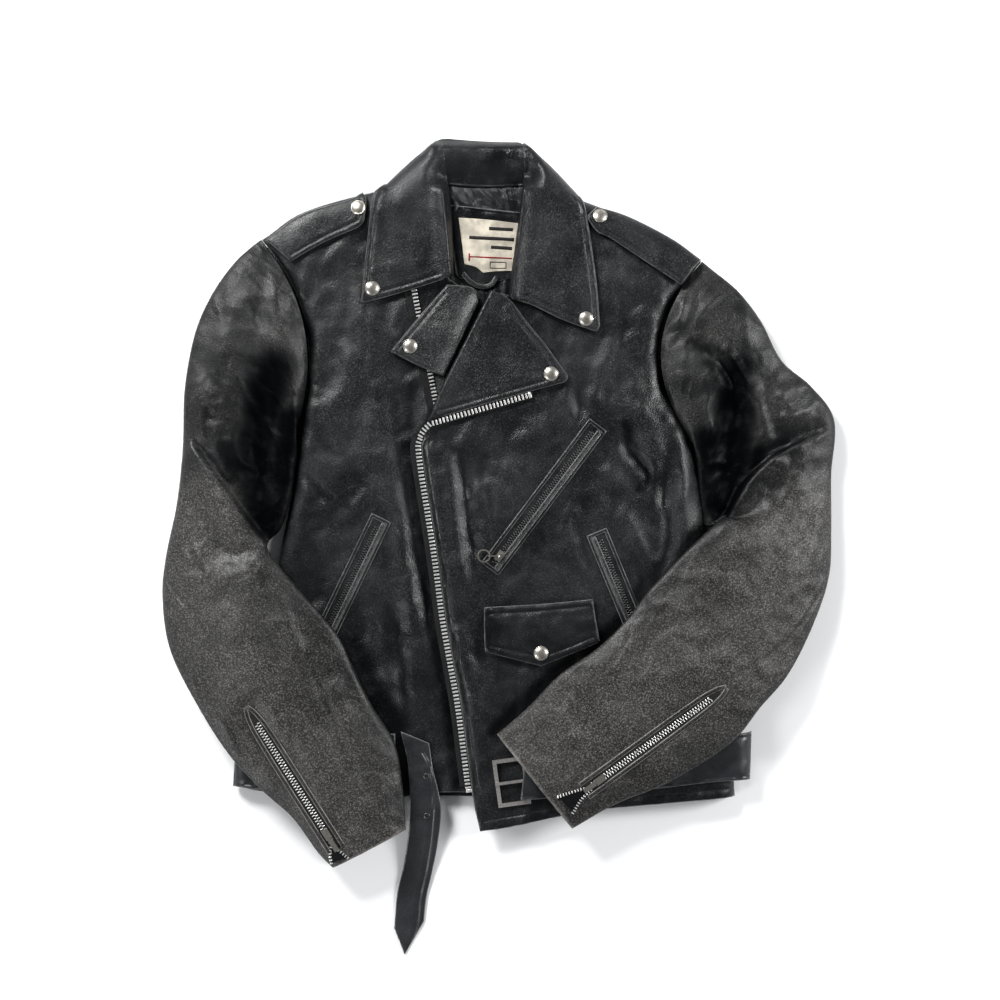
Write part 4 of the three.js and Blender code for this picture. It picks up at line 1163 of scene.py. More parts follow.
lapel_l_level = leaf_level(LEFT_LEAF, LAPEL_FOLD, roll_up=2.6,
    curl=[((0, 205), 26, -1.5), ((20, 225), 16, 2.0)],
    drops=[(LAPEL_FOLD, 4, 4.0)])
lapel_l_edge = outline([(-9, 258), (3, 254), (13, 246), (28, 226), (47, 203), (62, 182)],
    [(62, 182), (69, 172), (66, 166), (56, 163)],
    [(56, 163), (30, 156), (-20, 142), (-67, 128)], [(-67, 128), (-72, 126)],
    [(-72, 126), (-58, 160), (-35, 206), (-9, 258)],
    step=2.6)
lapel_l_stitch = [smooth([(10, 239), (24, 221), (42, 199), (58, 177)], 3.0),
    smooth([(52, 169), (30, 162.5), (-20, 148.5), (-60, 137)], 3.0)]
leaf("lapel_left_leaf", lapel_l_edge, lapel_l_level, LAPEL_FOLD, lapel_l_stitch, "lapel_left", "lapel_left",
    hinge_points(LAPEL_FOLD, (30, 190), -2, 5, LEFT_LEAF), soft_fade, step=2.8, quiet=[LAPEL_FOLD])

# %% Shoulder straps
def strap_level(base, shoulder):
    line = smooth(shoulder, 6.0)

    def level(points):
        height = base + 0.4 * drape(points)
        keep = rolled(from_line(points, line)[0], 24)
        return 7.0 + (height - 7.0) * keep
    return level


strap_r_level = strap_level(RIGHT_STRAP, [(-100, 372), (-133, 366), (-198, 342), (-246, 312)])
strap_r_edge = outline([(-137, 357), (-133, 349), (-135, 328)],
    [(-135, 328), (-140, 322), (-146, 319), (-176, 306), (-209, 287)],
    [(-209, 287), (-220, 297), (-234, 309)], [(-234, 309), (-198, 335), (-152, 349), (-137, 357)], step=2.6)
strap_r_stitch = [smooth([(-139, 349), (-140, 331), (-148, 325), (-176, 312), (-208, 294)], 3.0)]
leaf("shoulder_strap_right", strap_r_edge, strap_r_level, None, strap_r_stitch, "epaulet_right",
    "epaulet_right",
    hinge_points([(-209, 287), (-232, 309)], (-150, 340), -1, 10, RIGHT_STRAP), soft_fade, step=3.0)

strap_l_level = strap_level(LEFT_STRAP, [(60, 366), (98, 350), (172, 316), (210, 288)])
strap_l_edge = outline([(98, 342), (87, 331)], [(87, 331), (98, 316), (112, 309), (150, 284), (182, 263)],
    [(182, 263), (192, 276), (203, 289)], [(203, 289), (172, 311), (129, 333), (98, 342)], step=2.6)
strap_l_stitch = [smooth([(97, 336), (94, 330), (103, 319), (116, 312), (150, 290), (180, 270)], 3.0)]
leaf("shoulder_strap_left", strap_l_edge, strap_l_level, None, strap_l_stitch, "epaulet_left", "epaulet_left",
    hinge_points([(180, 264), (199, 288)], (110, 330), -1, 10, LEFT_STRAP), soft_fade, step=3.0)

# %% The flap and its patch
def flap_level(points):
    return FLAP_LEVEL - 1.6 + 0.5 * drape(points) + 1.6 * step_up(-points[:, 1], 62, 78) + 0.5 * rumple(points,
        14, 3.1)


def flap_patch_level(points):
    return LEFT_TOP + 0.2 + drape(points) * 0.95


flap_patch_edge = outline([(-11, -64), (89, -57)], [(89, -57), (94, -92)], [(94, -92), (-9, -100)],
    [(-9, -100), (-11, -64)])
flap_patch = panel("flap_patch", flap_patch_edge, flap_patch_level, thick=1.2, roll=1.2)
settle(flap_patch, "jacket", "leather", "flap_pocket")
declare(flap_patch_edge)
flap_edge = outline([(-15, -59), (40, -56), (94, -51)], [(94, -51), (97, -72), (101, -94)],
    [(101, -94), (72, -106), (42, -118)], [(42, -118), (14, -111), (-14, -104)],
    [(-14, -104), (-15, -82), (-15, -59)],
    step=2.6)
flap_stitch = [smooth([(-9, -66), (40, -63), (90, -58)], 3.0),
    smooth([(-8.5, -98), (14, -103), (42, -109.5)], 3.0),
    smooth([(42, -109.5), (70, -99), (94, -89)], 3.0)]
leaf("pocket_flap_leaf", flap_edge, flap_level, None, flap_stitch, "pocket_flap", "flap",
    hinge_points([(-15, -59), (94, -51)], (42, -118), -3, 8, FLAP_LEVEL),
    lambda p: np.clip(0.06 + 0.05 * rumple(p, 20,
        1.0), 0, 0.3), step=3.0)

# %% [markdown]
# ## Sleeves
# A sleeve is a flattened tube. It could be a cylinder bent with modifiers, but the folded arm turns through
# more than a right angle, so it is lofted instead: rings between an inner and an outer edge line, from the
# armhole to the cuff. The forearm lies over the upper arm, which the ledge at the elbow shows. Each sleeve is
# one mesh.

# %% Rings along the arm
# The upper side of a sleeve comes no nearer to the floor than this
LOWEST_TOP = 2.0


def curve_through(values, count):
    values = np.array(values, float)
    ends = np.vstack([2 * values[0] - values[1], values, 2 * values[-1] - values[-2]])
    spans = len(values) - 1
    at = np.linspace(0, spans, count)
    k = np.minimum(at.astype(int), spans - 1)
    t = (at - k)[:, None]
    a, b, c, d = ends[k], ends[k + 1], ends[k + 2], ends[k + 3]
    return 0.5 * (2 * b + (c - a) * t + (2 * a - 5 * b + 4 * c - d) * t**2 + (3 * b - a - 3 * c + d) * t**3)


def tube(stations, rings, around, crown):
    """stations are (inner, outer, inner level, outer level, height, bow). Returns points, and for each point its
    share along the arm and how far up it is, from 0 underneath to 1 on top."""
    data = curve_through([[*i, *o, zi, zo, h, bow] for i, o, zi, zo, h, bow in stations], rings)
    angle = np.linspace(0, 2 * math.pi, around, endpoint=False) + math.pi / around
    cos, sin = np.cos(angle), np.sin(angle)
    across = 0.5 - 0.5 * np.sign(cos) * np.abs(cos) ** 0.86
    up = 0.5 + 0.5 * np.sign(sin) * np.abs(sin) ** 0.62
    points = np.zeros((rings, around, 3))
    for r, (ix, iy, ox, oy, zi, zo, height, bow) in enumerate(data):
        a, b = np.array((ix, iy)), np.array((ox, oy))
        way = b - a
        left = np.array([-way[1], way[0]]) / np.linalg.norm(way)
        flat = a + way * across[:, None] + left * (4 * bow * across * (1 - across))[:, None]
        arch = crown * 4 * across * (1 - across) * np.where(sin > 0, 1, 0)
        points[r, :, :2] = flat
        points[r, :, 2] = zi + (zo - zi) * across + height * up + arch * np.clip(up * 2 - 1, 0, 1)
    along = np.repeat(np.linspace(0, 1, rings)[:, None], around, axis=1)
    return points, along, np.repeat(np.clip(sin, 0, 1)[None] ** 0.5, rings, axis=0)


def ledge(points, line, high_side, up, down, reach_up, reach_down, soft=2.5):
    """A fold where one part lies over another: high on one side of the line and low on the other."""
    far, share, side = from_line(points, smooth(line, 4.0))
    signed = far * side * high_side
    ends = step_up(share, 0.0, 0.12) * step_up(1 - share, 0.0, 0.12)
    step = step_up(signed, -soft, soft)
    high = up * np.exp(-(np.maximum(signed, 0) / reach_up) ** 2)
    low = -down * np.exp(-(np.maximum(-signed, 0) / reach_down) ** 2)
    return (high * step + low * (1 - step)) * ends


def sleeve(name, stations, crown, folds, ledges, flats, fade_and_painted_light, seam_lines, lean, hollows, elbow,
        material=SLEEVE_LEATHER, rings=230, around=150):
    points, along, top = tube(stations, rings, around, crown)
    flat = points.reshape(-1, 3)
    xy = flat[:, :2]
    lift = np.zeros(len(flat))
    for line, width, height in folds:
        lift += ridge(xy, smooth(line, 5.0), width, height)
    for args in ledges:
        lift += ledge(xy, *args)
    lift += 1.6 * rumple(xy, 34, 5.5) + 0.6 * rumple(xy, 12, 7.7)
    lift += 2.0 * crests(xy, 30, 2.3, lean, 1.7) + 0.8 * crests(xy, 13, 6.9, lean + 0.5, 1.5) - 1.0
    for line, width, depth in seam_lines:
        far = from_line(xy, smooth(line, 4.0))[0]
        lift -= depth * np.exp(-(far / width) ** 2)
        lift += depth * 0.7 * np.exp(-((far - 4.0) / 2.5) ** 2)
    upper = top.reshape(-1)
    height = flat[:, 2] + lift * upper
    for line, level, reach in flats:
        far = from_line(xy, line)[0]
        mix = (1 - step_up(far, reach * 0.45, reach * 1.5)) * (upper > 0.05)
        height = height * (1 - mix) + level * mix
    flat[:, 2] = np.where(upper > 0, np.maximum(height, LOWEST_TOP), flat[:, 2])
    faces = []
    for r in range(rings - 1):
        a, b = r * around, (r + 1) * around
        for i in range(around):
            j = (i + 1) % around
            faces.append((a + i, a + j, b + j, b + i))
    made = mesh_object(name, flat, faces, [material, SATIN])
    bm = bmesh.new()
    bm.from_mesh(made.data)
    bmesh.ops.recalc_face_normals(bm, faces=bm.faces)
    outer = max(bm.faces, key=lambda f: f.calc_center_median().z)
    if outer.normal.z < 0:
        bmesh.ops.reverse_faces(bm, faces=bm.faces)
    bm.to_mesh(made.data)
    bm.free()
    made.data.shade_smooth()
    end = along.reshape(-1)
    # Painted shade on the upper arm, up to the elbow.
    mark(made, "painted_shade", painted_shade_from(xy, hollows) * (end < elbow))
    # The tone follows the sleeve's height: on raised folds it is wear on the crests, and down in the hollows it
    # drops as painted shade.
    mark(made, "fade_and_painted_light", np.clip(fade_and_painted_light(xy) + 0.03 * lift * upper, 0, 1))
    rub = np.exp(-((1 - end) / 0.006) ** 2) * 0.9
    for line, _, _ in seam_lines:
        far = from_line(xy, smooth(line, 4.0))[0]
        rub = np.maximum(rub, 0.5 * np.exp(-((far - 2.2) / 1.4) ** 2) * upper)
    mark(made, "wear", np.clip(rub, 0, 1))
    choose(made)
    wall = made.modifiers.new("wall", "SOLIDIFY")
    wall.thickness = 0.0018
    wall.offset = -1
    wall.material_offset = 1
    wall.material_offset_rim = 0
    bpy.ops.object.modifier_apply(modifier=wall.name)
    return made


# %% The wearer's left sleeve
def left_fade(points):
    elbow = np.array([(338, 120), (300, 20), (240, -90), (150, -150), (60, -200)], float)
    far = from_line(points, smooth(elbow, 8.0))[0]
    forearm = step_up(-(points[:, 1] - 20) + 0.55 * (points[:, 0] - 200), -20, 60)
    return np.clip(0.2 + 0.75 * forearm * np.exp(-(far / 90) ** 2) + 0.2 * rumple(points, 34, 2.9), 0, 1)


R, L = RIGHT_FOREARM, LEFT_FOREARM
left_stations = [
    ((195.6, 105), (204.6, 288), 2, 2, 17, 38), ((197, 101), (214, 280), 0, 0, 24, 35),
    ((198, 92), (240, 258), 0, 0, 29, 26), ((199, 84), (263, 228), 0, 0, 29, 16),
    ((200, 72), (284, 188), 0, 0, 28, 6), ((201, 56), (314, 162), 0, 0, 27, 0),
    ((204, 36), (337, 128), 1, 0, 27, 0), ((208, 22), (334, 73), 3, 0, 27, 0),
    ((226, 31), (334, 18), 13, 0, 28, 0),
    ((217, 26), (331, -30), L - 5, 4, 27, 0), ((182, -7), (313, -80), L, 14, 23, 0),
    ((149, -42), (288, -126), L, L - 6, 20, 0), ((126, -72), (260, -158), L, L, 19, 0),
    ((97, -100), (230, -194), L, L, 19, 0), ((60, -126), (172, -231), L, L, 18, 0),
    ((30, -157), (115, -255), L, L, 17, 0), ((-2, -185), (73, -279), L, L, 15, 0),
]
left_folds = [
    ([(176, 260), (184, 240), (178, 214)], 8, 3.0), ([(176, 206), (186, 196), (182, 176)], 7, 3.2),
    ([(196, 200), (214, 190), (230, 172), (238, 152)], 5, -5.0),
    ([(214, 204), (232, 190), (244, 170), (246, 150)], 5, 3.6),
    ([(232, 236), (250, 214), (262, 196)], 14, 3.0), ([(286, 168), (292, 140), (286, 112)], 11, 3.4),
    ([(252, 172), (256, 148), (266, 118), (274, 96)], 6, 3.2),
    ([(238, 170), (235, 120), (228, 76), (220, 44)], 19, -16.0),
    ([(204, 128), (214, 118), (210, 100)], 5, 3.0), ([(312, 92), (296, 60), (268, 30), (236, -2)], 12, 3.2),
    ([(330, 60), (318, 20), (300, -20)], 12, 2.0), ([(282, 24), (272, -12), (250, -40)], 9, -2.0),
    ([(250, 20), (216, -20), (180, -56), (150, -84)], 12, 2.6), ([(300, -20), (276, -56), (246, -84)], 8, 1.8),
    ([(214, -60), (196, -86), (206, -108)], 9, -2.2), ([(236, -80), (214, -92), (190, -116)], 6, -2.4),
    ([(120, -96), (104, -110), (84, -130)], 12, 2.4), ([(50, -150), (66, -176), (84, -196)], 8, 1.8),
    ([(72, -140), (92, -160), (104, -184)], 6, -1.6), ([(190, -70), (160, -110), (128, -136)], 10, 1.6),
    ([(20, -178), (40, -200), (56, -226)], 6, -1.4),
]
left_ledges = [([(214, 20), (229, 36), (245, 64), (273, 91), (305, 108), (335, 122)], -1, 3.5, 8.0, 12, 14)]
# Lines of painted shade in the dark hollow of the upper arm, inside the elbow.
LEFT_ARM_SHADE_LINES = [([(236, 176), (234, 140), (238, 100), (230, 66), (222, 44)], 21, 1.0),
    ([(208, 110), (212, 80), (214, 56), (216, 36)], 14, 0.95), ([(192, 205), (206, 199), (230, 196)], 6, 0.6),
    ([(206, 186), (226, 168), (240, 160)], 5, 0.7), ([(258, 94), (240, 76), (228, 50)], 12, 0.9)]
left_seam = [(334, -26), (325, -40), (306, -68), (286, -93), (261, -111), (229, -129)]
left_sleeve = sleeve("left_sleeve", left_stations, 4.5, left_folds, left_ledges,
    [(zip_ends(CUFF_LEFT, 12), LEFT_CUFF_TOP - 0.4, 13)], left_fade, [(left_seam, 1.8, 1.3)], -2.5,
    LEFT_ARM_SHADE_LINES, 0.53)
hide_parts("upper_sleeve_left", "forearm_left")
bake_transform(left_sleeve)

# %% The wearer's right sleeve
def right_fade(points):
    line = np.array([(-318, 80), (-300, -40), (-250, -130), (-190, -220), (-140, -290)], float)
    far = from_line(points, smooth(line, 8.0))[0]
    forearm = step_up(-points[:, 1] + 90, -10, 60)
    return np.clip(0.22 + 0.6 * forearm * np.exp(-(far / 70) ** 2) + 0.2 * rumple(points, 34, 6.9), 0, 1)


right_stations = [
    ((-203.6, 120), (-239.6, 310), 2, 2, 14, -27), ((-204, 114), (-250, 302), 0, 0, 22, -25),
    ((-203, 103), (-268, 284), 0, 0, 28, -18), ((-203, 92), (-290, 252), 0, 0, 28, -10),
    ((-205, 80), (-306, 214), 0, 0, 28, -4), ((-207, 66), (-316, 160), 1, 0, 27, 0),
    ((-212, 40), (-318, 100), 2, 0, 27, 0), ((-220, 18), (-324, 44), 4, 0, 27, 0),
    ((-232, 4), (-335, -10), 8, 0, 28, 0),
    ((-224, -12), (-338, -52), R - 5, 2, 27, 0), ((-190, -52), (-329, -103), R, 12, 23, 0),
    ((-161, -87), (-300, -158), R, R, 20, 0), ((-144, -122), (-270, -205), R, R, 19, 0),
    ((-128, -155), (-238, -240), R, R, 19, 0), ((-104, -195), (-206, -269), R, R, 18, 0),
    ((-96, -240), (-182, -302), R, R, 17, 0), ((-93, -281), (-166, -319), R, R, 15, 0),
]
right_folds = [
    ([(-226, 280), (-222, 240), (-216, 200)], 9, 3.0), ([(-262, 262), (-270, 220), (-276, 180)], 12, 3.2),
    ([(-238, 250), (-246, 200), (-252, 160)], 9, -2.6), ([(-236, 176), (-240, 130), (-238, 80), (-230, 34)], 20,
    -16.0),
    ([(-300, 180), (-302, 140), (-308, 110)], 8, 2.6), ([(-308, 84), (-316, 40), (-318, 0), (-320, -40)], 11,
    2.6),
    ([(-290, 70), (-276, 40), (-256, 10), (-238, -16)], 9, 3.0),
    ([(-300, 30), (-280, 0), (-262, -30)], 12, -1.6),
    ([(-256, -20), (-250, -50), (-258, -80)], 10, 2.8), ([(-232, -26), (-214, -60), (-200, -96), (-186, -120)],
    7, 2.4),
    ([(-240, -60), (-226, -90), (-214, -122)], 6, -2.2),
    ([(-206, -80), (-186, -120), (-168, -160), (-158, -200)], 7, -2.6),
    ([(-150, -110), (-134, -150), (-118, -180)], 6, 2.6), ([(-176, -110), (-152, -170), (-136, -220)], 8, 2.0),
    ([(-160, -180), (-144, -220), (-128, -262)], 7, -1.8), ([(-290, -60), (-276, -84), (-256, -100)], 7, 2.2),
    ([(-262, -130), (-238, -150), (-224, -176)], 9, 2.0), ([(-112, -220), (-112, -250), (-106, -276)], 6, 1.6),
]
right_ledges = [([(-311, 112), (-299, 95), (-262, 44), (-238, 12), (-222, -8)], -1, 3.5, 7.0, 12, 14)]
# Lines of painted shade in the dark hollow of the upper arm, inside the elbow.
RIGHT_ARM_SHADE_LINES = [([(-226, 176), (-236, 140), (-246, 104), (-240, 70), (-232, 34)], 25, 1.0),
    ([(-212, 130), (-216, 90), (-222, 50), (-230, 20)], 15, 1.0), ([(-270, 96), (-262, 76)], 14, 0.8)]
right_seam = [(-336, -28), (-322, -46), (-305, -66), (-290, -90), (-277, -112), (-263, -132), (-252, -146)]
right_sleeve = sleeve("right_sleeve", right_stations, 4.5, right_folds, right_ledges,
    [(zip_ends(CUFF_RIGHT, 12), RIGHT_CUFF_TOP - 0.4, 13)], right_fade, [(right_seam, 1.8, 1.3)], -0.95,
    RIGHT_ARM_SHADE_LINES, 0.53)
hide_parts("upper_sleeve_right", "forearm_right")
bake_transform(right_sleeve)
print("sleeves:", len(left_sleeve.data.polygons), len(right_sleeve.data.polygons), "faces")

# %% [markdown]
# ## The belt
# The belt goes round the waist under the back and comes over both fronts. Its buckle end is doubled round the
# frame's bar, and its loose end hangs past the hem with metal eyelets and a pressed groove.

# %% Belt tail
TAIL = [[(-99, -184), (-70, -196), 1], [(-92, -214), (-66, -222), 1], [(-90, -238), (-61, -243), 1],
    [(-89, -262), (-58, -264), 1], [(-92, -295), (-62, -300), 0.45], [(-97, -324), (-68, -330), 0.1],
    [(-103, -350), (-73, -352), 0], [(-106, -385), (-76, -378), 0]]
tail_left = smooth([row[0] for row in TAIL], 3.0)
tail_right = smooth([row[1] for row in TAIL], 3.0)
TAIL_LIE = RIGHT_TOP + 0.3


def tail_level(points):
    y = points[:, 1]
    known = [(row[0][1] + row[1][1]) / 2 for row in TAIL]
    share = np.interp(-y, [-k for k in known], [row[2] for row in TAIL])
    rest = TAIL_LIE * share + drape(points) * step_up(y, -262, -240) + 0.2
    return rest + 0.5 * np.sin((points[:, 0] + 80) / 9.0)


tail_edge = outline([tuple(p) for p in tail_left], [tuple(tail_left[-1]), (-95.5, -412)],
    [(-95.5, -412), tuple(tail_right[-1])],
    [tuple(p) for p in tail_right[::-1]], [tuple(tail_right[0]), tuple(tail_left[0])], step=2.4)
tail_groove = smooth([(-76, -206), (-69, -222), (-66, -252), (-68, -285), (-73, -320), (-80, -352), (-83, -380),
    (-88, -396)], 2.4)
EYELETS = [(-73, -229), (-72.5, -269)]
tail = panel("belt_loose_end", tail_edge, tail_level, thick=STRAP_THICK, stitches=[tail_groove], step=3.0,
    roll=0.9,
    material=STRAP_LEATHER, groove=0.7, puff=0.35, fade_and_painted_light=flat_at(0.2))
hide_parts("belt_tail")
declare(tail_edge)
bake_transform(tail)

# %% Belt round the waist
def belt_run(name, top, bottom, level, stitch=4.0, fade_and_painted_light=0.15):
    edge = outline(top, [top[-1], bottom[-1]], bottom[::-1], [bottom[0], top[0]], step=3.0)
    lines = [beside(smooth(top, 3.0), -stitch), beside(smooth(bottom, 3.0), stitch)]
    made = panel(name, edge, level, thick=STRAP_THICK, stitches=lines, step=4.0, roll=1.2,
        material=STRAP_LEATHER,
        fade_and_painted_light=flat_at(fade_and_painted_light), groove=0.5, puff=0.4)
    declare(edge)
    return made, lines


def left_belt_level(points):
    x = points[:, 0]
    fall = rolled(254.5 - x, 14)
    over = LEFT_TOP + 0.4 + drape(points) * 0.9 * step_up(x, 40, 70) + 4.3 * (1 - step_up(x, 34, 52))
    return 9.0 + (over - 9.0) * fall


belt_left, belt_lines = belt_run("belt_left_run", [(26, -212), (90, -203), (150, -198), (210, -190), (254,
    -184)],
    [(21.5, -252), (90, -248), (150, -242), (210, -235), (252, -232)], left_belt_level)
settle(belt_left, "jacket", "leather", "belt_band")
thread("belt_thread", [(line, lambda p: left_belt_level(p) + STRAP_THICK - STITCH_SUNK) for line in belt_lines],
    "jacket")


def back_belt_level(points):
    x = points[:, 0]
    near_left, near_right = np.clip((254.5 - x) / 12, 0, 1), np.clip((x + 266) / 12, 0, 1)
    return 0.1 + 7.0 * (1 - near_left) ** 2 + 6.0 * (1 - near_right) ** 2


belt_back, _ = belt_run("belt_back_run", [(-266, -206), (-150, -190), (100, -190), (254, -188)],
    [(-268, -240), (-150, -231), (100, -231), (238, -236)], back_belt_level)
settle(belt_back, "jacket", "leather")


def right_belt_level(points):
    x = points[:, 0]
    fall = rolled(x + 266, 14)
    return 9.0 + (RIGHT_TOP + 0.4 + drape(points) * 0.9 - 9.0) * fall


belt_right, _ = belt_run("belt_right_run", [(-266, -206), (-230, -200), (-160, -190), (-104, -186)],
    [(-268, -240), (-230, -242), (-160, -234), (-104, -230)], right_belt_level)
settle(belt_right, "jacket", "leather")

# %% [markdown]
# ## Small hard pieces by hand
# Snap caps, zip teeth, end stops and eyelets start as primitives at their size and are shaped in edit mode. A
# cap, a stop or an eyelet is then copied to each place with a mesh of its own, and a row of teeth is one mesh.

# %% Modelling helpers
FACES_UP = 0.9
SHARP = 50


def edit(made):
    choose(made)
    bpy.ops.object.mode_set(mode="EDIT")
    bpy.ops.mesh.select_all(action="DESELECT")


def leave():
    bpy.ops.object.mode_set(mode="OBJECT")


def pick_top(made):
    leave()
    for part in (*made.data.vertices, *made.data.edges):
        part.select = False
    for face in made.data.polygons:
        face.select = face.normal.z > FACES_UP
    bpy.ops.object.mode_set(mode="EDIT")
    bpy.ops.mesh.select_mode(type="FACE")


def apply_all(made):
    choose(made)
    for modifier in list(made.modifiers):
        bpy.ops.object.modifier_apply(modifier=modifier.name)
    bpy.ops.object.transform_apply(location=True, rotation=True, scale=True)


def round_edges(made, width, segments=2, angle=SHARP):
    soft = made.modifiers.new("soft_edges", "BEVEL")
    soft.width = width * MM
    soft.segments = segments
    soft.limit_method = "ANGLE"
    soft.angle_limit = math.radians(angle)
    apply_all(made)
    choose(made)
    bpy.ops.object.shade_smooth_by_angle(angle=math.radians(40))


def placed_copy(model, name, matrix, material, body, slot="nickel", nodes=()):
    made = bpy.data.objects.new(name, model.data.copy())
    made.data.name = name
    bpy.context.scene.collection.objects.link(made)
    made.data.transform(matrix)
    made.data.materials.clear()
    made.data.materials.append(material)
    settle(made, body, slot, *nodes)
    return made


def at_place(x, y, z, turn=0.0):
    return Matrix.Translation((x * MM, y * MM, z * MM)) @ Matrix.Rotation(turn, 4, "Z")


# %% The two kinds of small model: a round one and a block
def model_round(vertices, radius, thick, steps, soft):
    """A low cylinder whose top is inset and moved, ring by ring. steps are (inset, lift)."""
    bpy.ops.mesh.primitive_cylinder_add(vertices=vertices, radius=radius * MM, depth=thick * MM,
        location=(0, 0, thick / 2 * MM))
    made = bpy.context.object
    edit(made)
    pick_top(made)
    for inset, lift in steps:
        bpy.ops.mesh.inset(thickness=inset * MM)
        bpy.ops.transform.translate(value=(0, 0, lift * MM))
    leave()
    round_edges(made, soft)
    return made


def model_block(along, across, high, inset, lift, soft, segments):
    """A block with a smaller raised top and rounded edges."""
    bpy.ops.mesh.primitive_cube_add(size=1, location=(0, 0, high / 2 * MM))
    made = bpy.context.object
    made.scale = (along * MM, across * MM, high * MM)
    bpy.ops.object.transform_apply(location=True, rotation=False, scale=True)
    edit(made)
    pick_top(made)
    bpy.ops.mesh.inset(thickness=inset * MM)
    bpy.ops.transform.translate(value=(0, 0, lift * MM))
    leave()
    round_edges(made, soft, segments)
    return made


# %% Snap caps: a shallow dome with a rolled rim
snap_model = model_round(40, 7.4, 1.0, ((0.5, 0.25), (0.55, -0.1), (0.5, 0.35), (1.4, 0.55), (1.9, 0.42),
    (1.5, 0.14)), 0.3)
SNAPS = [("collar_right", (-127, 260), collar_r_level, "collar_right"),
    ("collar_left", (87, 229), collar_l_level, "collar_left"),
    ("lapel_right", (-89, 202), lapel_r_level, "lapel_right"),
    ("lapel_left", (52, 174), lapel_l_level, "lapel_left"),
    ("epaulet_right", (-141, 341), strap_r_level, "epaulet_right"),
    ("epaulet_left", (101, 332), strap_l_level, "epaulet_left"),
    ("pocket_flap", (42, -105), flap_level, "flap")]
for name, (x, y), level, body in SNAPS:
    spot = np.array([(x, y)], float)
    height = float(level(spot)[0]) + LEATHER + 0.7
    dx = float((level(spot + (4, 0)) - level(spot - (4, 0)))[0]) / 8
    dy = float((level(spot + (0, 4)) - level(spot - (0, 4)))[0]) / 8
    tilt = Vector((0, 0, 1)).rotation_difference(Vector((-dx, -dy, 1)).normalized()).to_matrix().to_4x4()
    placed_copy(snap_model, f"{name}_cap", Matrix.Translation((x * MM, y * MM, height * MM)) @ tilt, NICKEL,
        body,
        nodes=(f"{name}_snap",))
print("snaps:", len(SNAPS))

# %% A row of teeth, and a tape
def mesh_arrays(made):
    points = np.array([v.co for v in made.data.vertices], float) / MM
    return points, [list(p.vertices) for p in made.data.polygons]


def row_of(name, model, places, material, body, slot, nodes=()):
    """places are (x, y, z, angle): copies of a small mesh, joined into one."""
    base, shape = mesh_arrays(model)
    points, faces = [], []
    for x, y, z, turn in places:
        c, s = math.cos(turn), math.sin(turn)
        start = len(points) * len(base)
        points.append(np.column_stack([x + base[:, 0] * c - base[:, 1] * s, y + base[:, 0] * s + base[:, 1] * c,
            z + base[:, 2]]))
        faces += [[start + i for i in f] for f in shape]
    made = mesh_object(name, np.vstack(points), faces, material, shade=False)
    return settle(made, body, slot, *nodes)


def ribbon(name, line, half, level, thick, material, body, slot="teeth", step=3.0, nodes=()):
    """A flat tape along a line."""
    spots = even(line, step)
    edge = np.vstack([beside(spots, half), beside(spots, -half)[::-1]])
    made = panel(name, edge, level, thick=thick, step=max(2.5, half), roll=0.4, material=material,
        edge_wear=False)
    return settle(made, body, slot, *nodes)


tooth = model_block(1.9, 5.6, 2.2, 0.35, 0.25, 0.22, 1)


def teeth_along(line, level, pitch=3.7):
    spots = even(line, pitch)
    way = np.gradient(spots, axis=0)
    return [(x, y, z, math.atan2(wy, wx)) for (x, y), z, (wx, wy) in zip(spots, level(spots), way)]


# %% Main zip: the row on the left front, its top on the lapel, and the hidden row
def main_zip_level(points):
    return LEFT_FRONT + drape(points) + 0.35


row_of("main_teeth", tooth, teeth_along(ZIP_LINE, main_zip_level), TEETH, "jacket", "teeth", ("main_zip_left",))
turn_line = smooth([(-69.5, 123.4), (-75, 117.8), (-78.6, 112)], 2.0)
turn_places = teeth_along(turn_line, main_zip_level)
row_of("zip_turn_teeth", tooth, [(x, y, z + 5.0 * (1 - i / max(1, len(turn_places) - 1)), turn)
    for i, (x, y, z, turn) in enumerate(turn_places)], TEETH, "jacket", "teeth")
ribbon("main_tape", beside(ZIP_LINE, -1.5), 6.5, lambda p: main_zip_level(p) - 0.6, TAPE_THICK, TAPE, "jacket")
lapel_row = beside(even(LAPEL_EDGE, 2.0), 3.3)
row_of("lapel_teeth", tooth, teeth_along(lapel_row, flat_at(LEFT_LEAF + 0.2)), TEETH, "lapel_left", "teeth",
    ("main_zip_lapel",))
ribbon("lapel_tape", beside(lapel_row, -1.0), 5.0, flat_at(LEFT_LEAF - 0.2), TAPE_THICK, TAPE, "lapel_left")
hidden_line = even(HIDDEN_LINE, 2.0)


def hidden_level(points):
    return RIGHT_TOP + 0.9 + drape(points)


row_of("hidden_teeth", tooth, teeth_along(hidden_line, hidden_level), TEETH, "jacket", "teeth",
    ("main_zip_right",))
ribbon("hidden_tape", beside(hidden_line, 4.0), 6.0, lambda p: hidden_level(p) - 0.5, 0.4, TAPE, "jacket")

# %% Closed zips: two rows of small teeth that mesh
small_tooth = model_block(1.25, 2.9, 1.5, 0.35, 0.25, 0.22, 1)


def closed_zip(name, zip_frame, level, body, material, node_name, pitch=3.1, spread=1.55):
    start, way, length = zip_frame
    normal = np.array([-way[1], way[0]])
    turn = math.atan2(way[1], way[0])
    places = []
    count = int(length / pitch)
    for i in range(count):
        for side, shift in ((1, 0), (-1, pitch / 2)):
            x, y = start + way * (i * pitch + shift + 1) + normal * side * spread
            places.append((x, y, level - 0.55, turn))
    return row_of(name, small_tooth, places, material, body, "teeth", (node_name,))


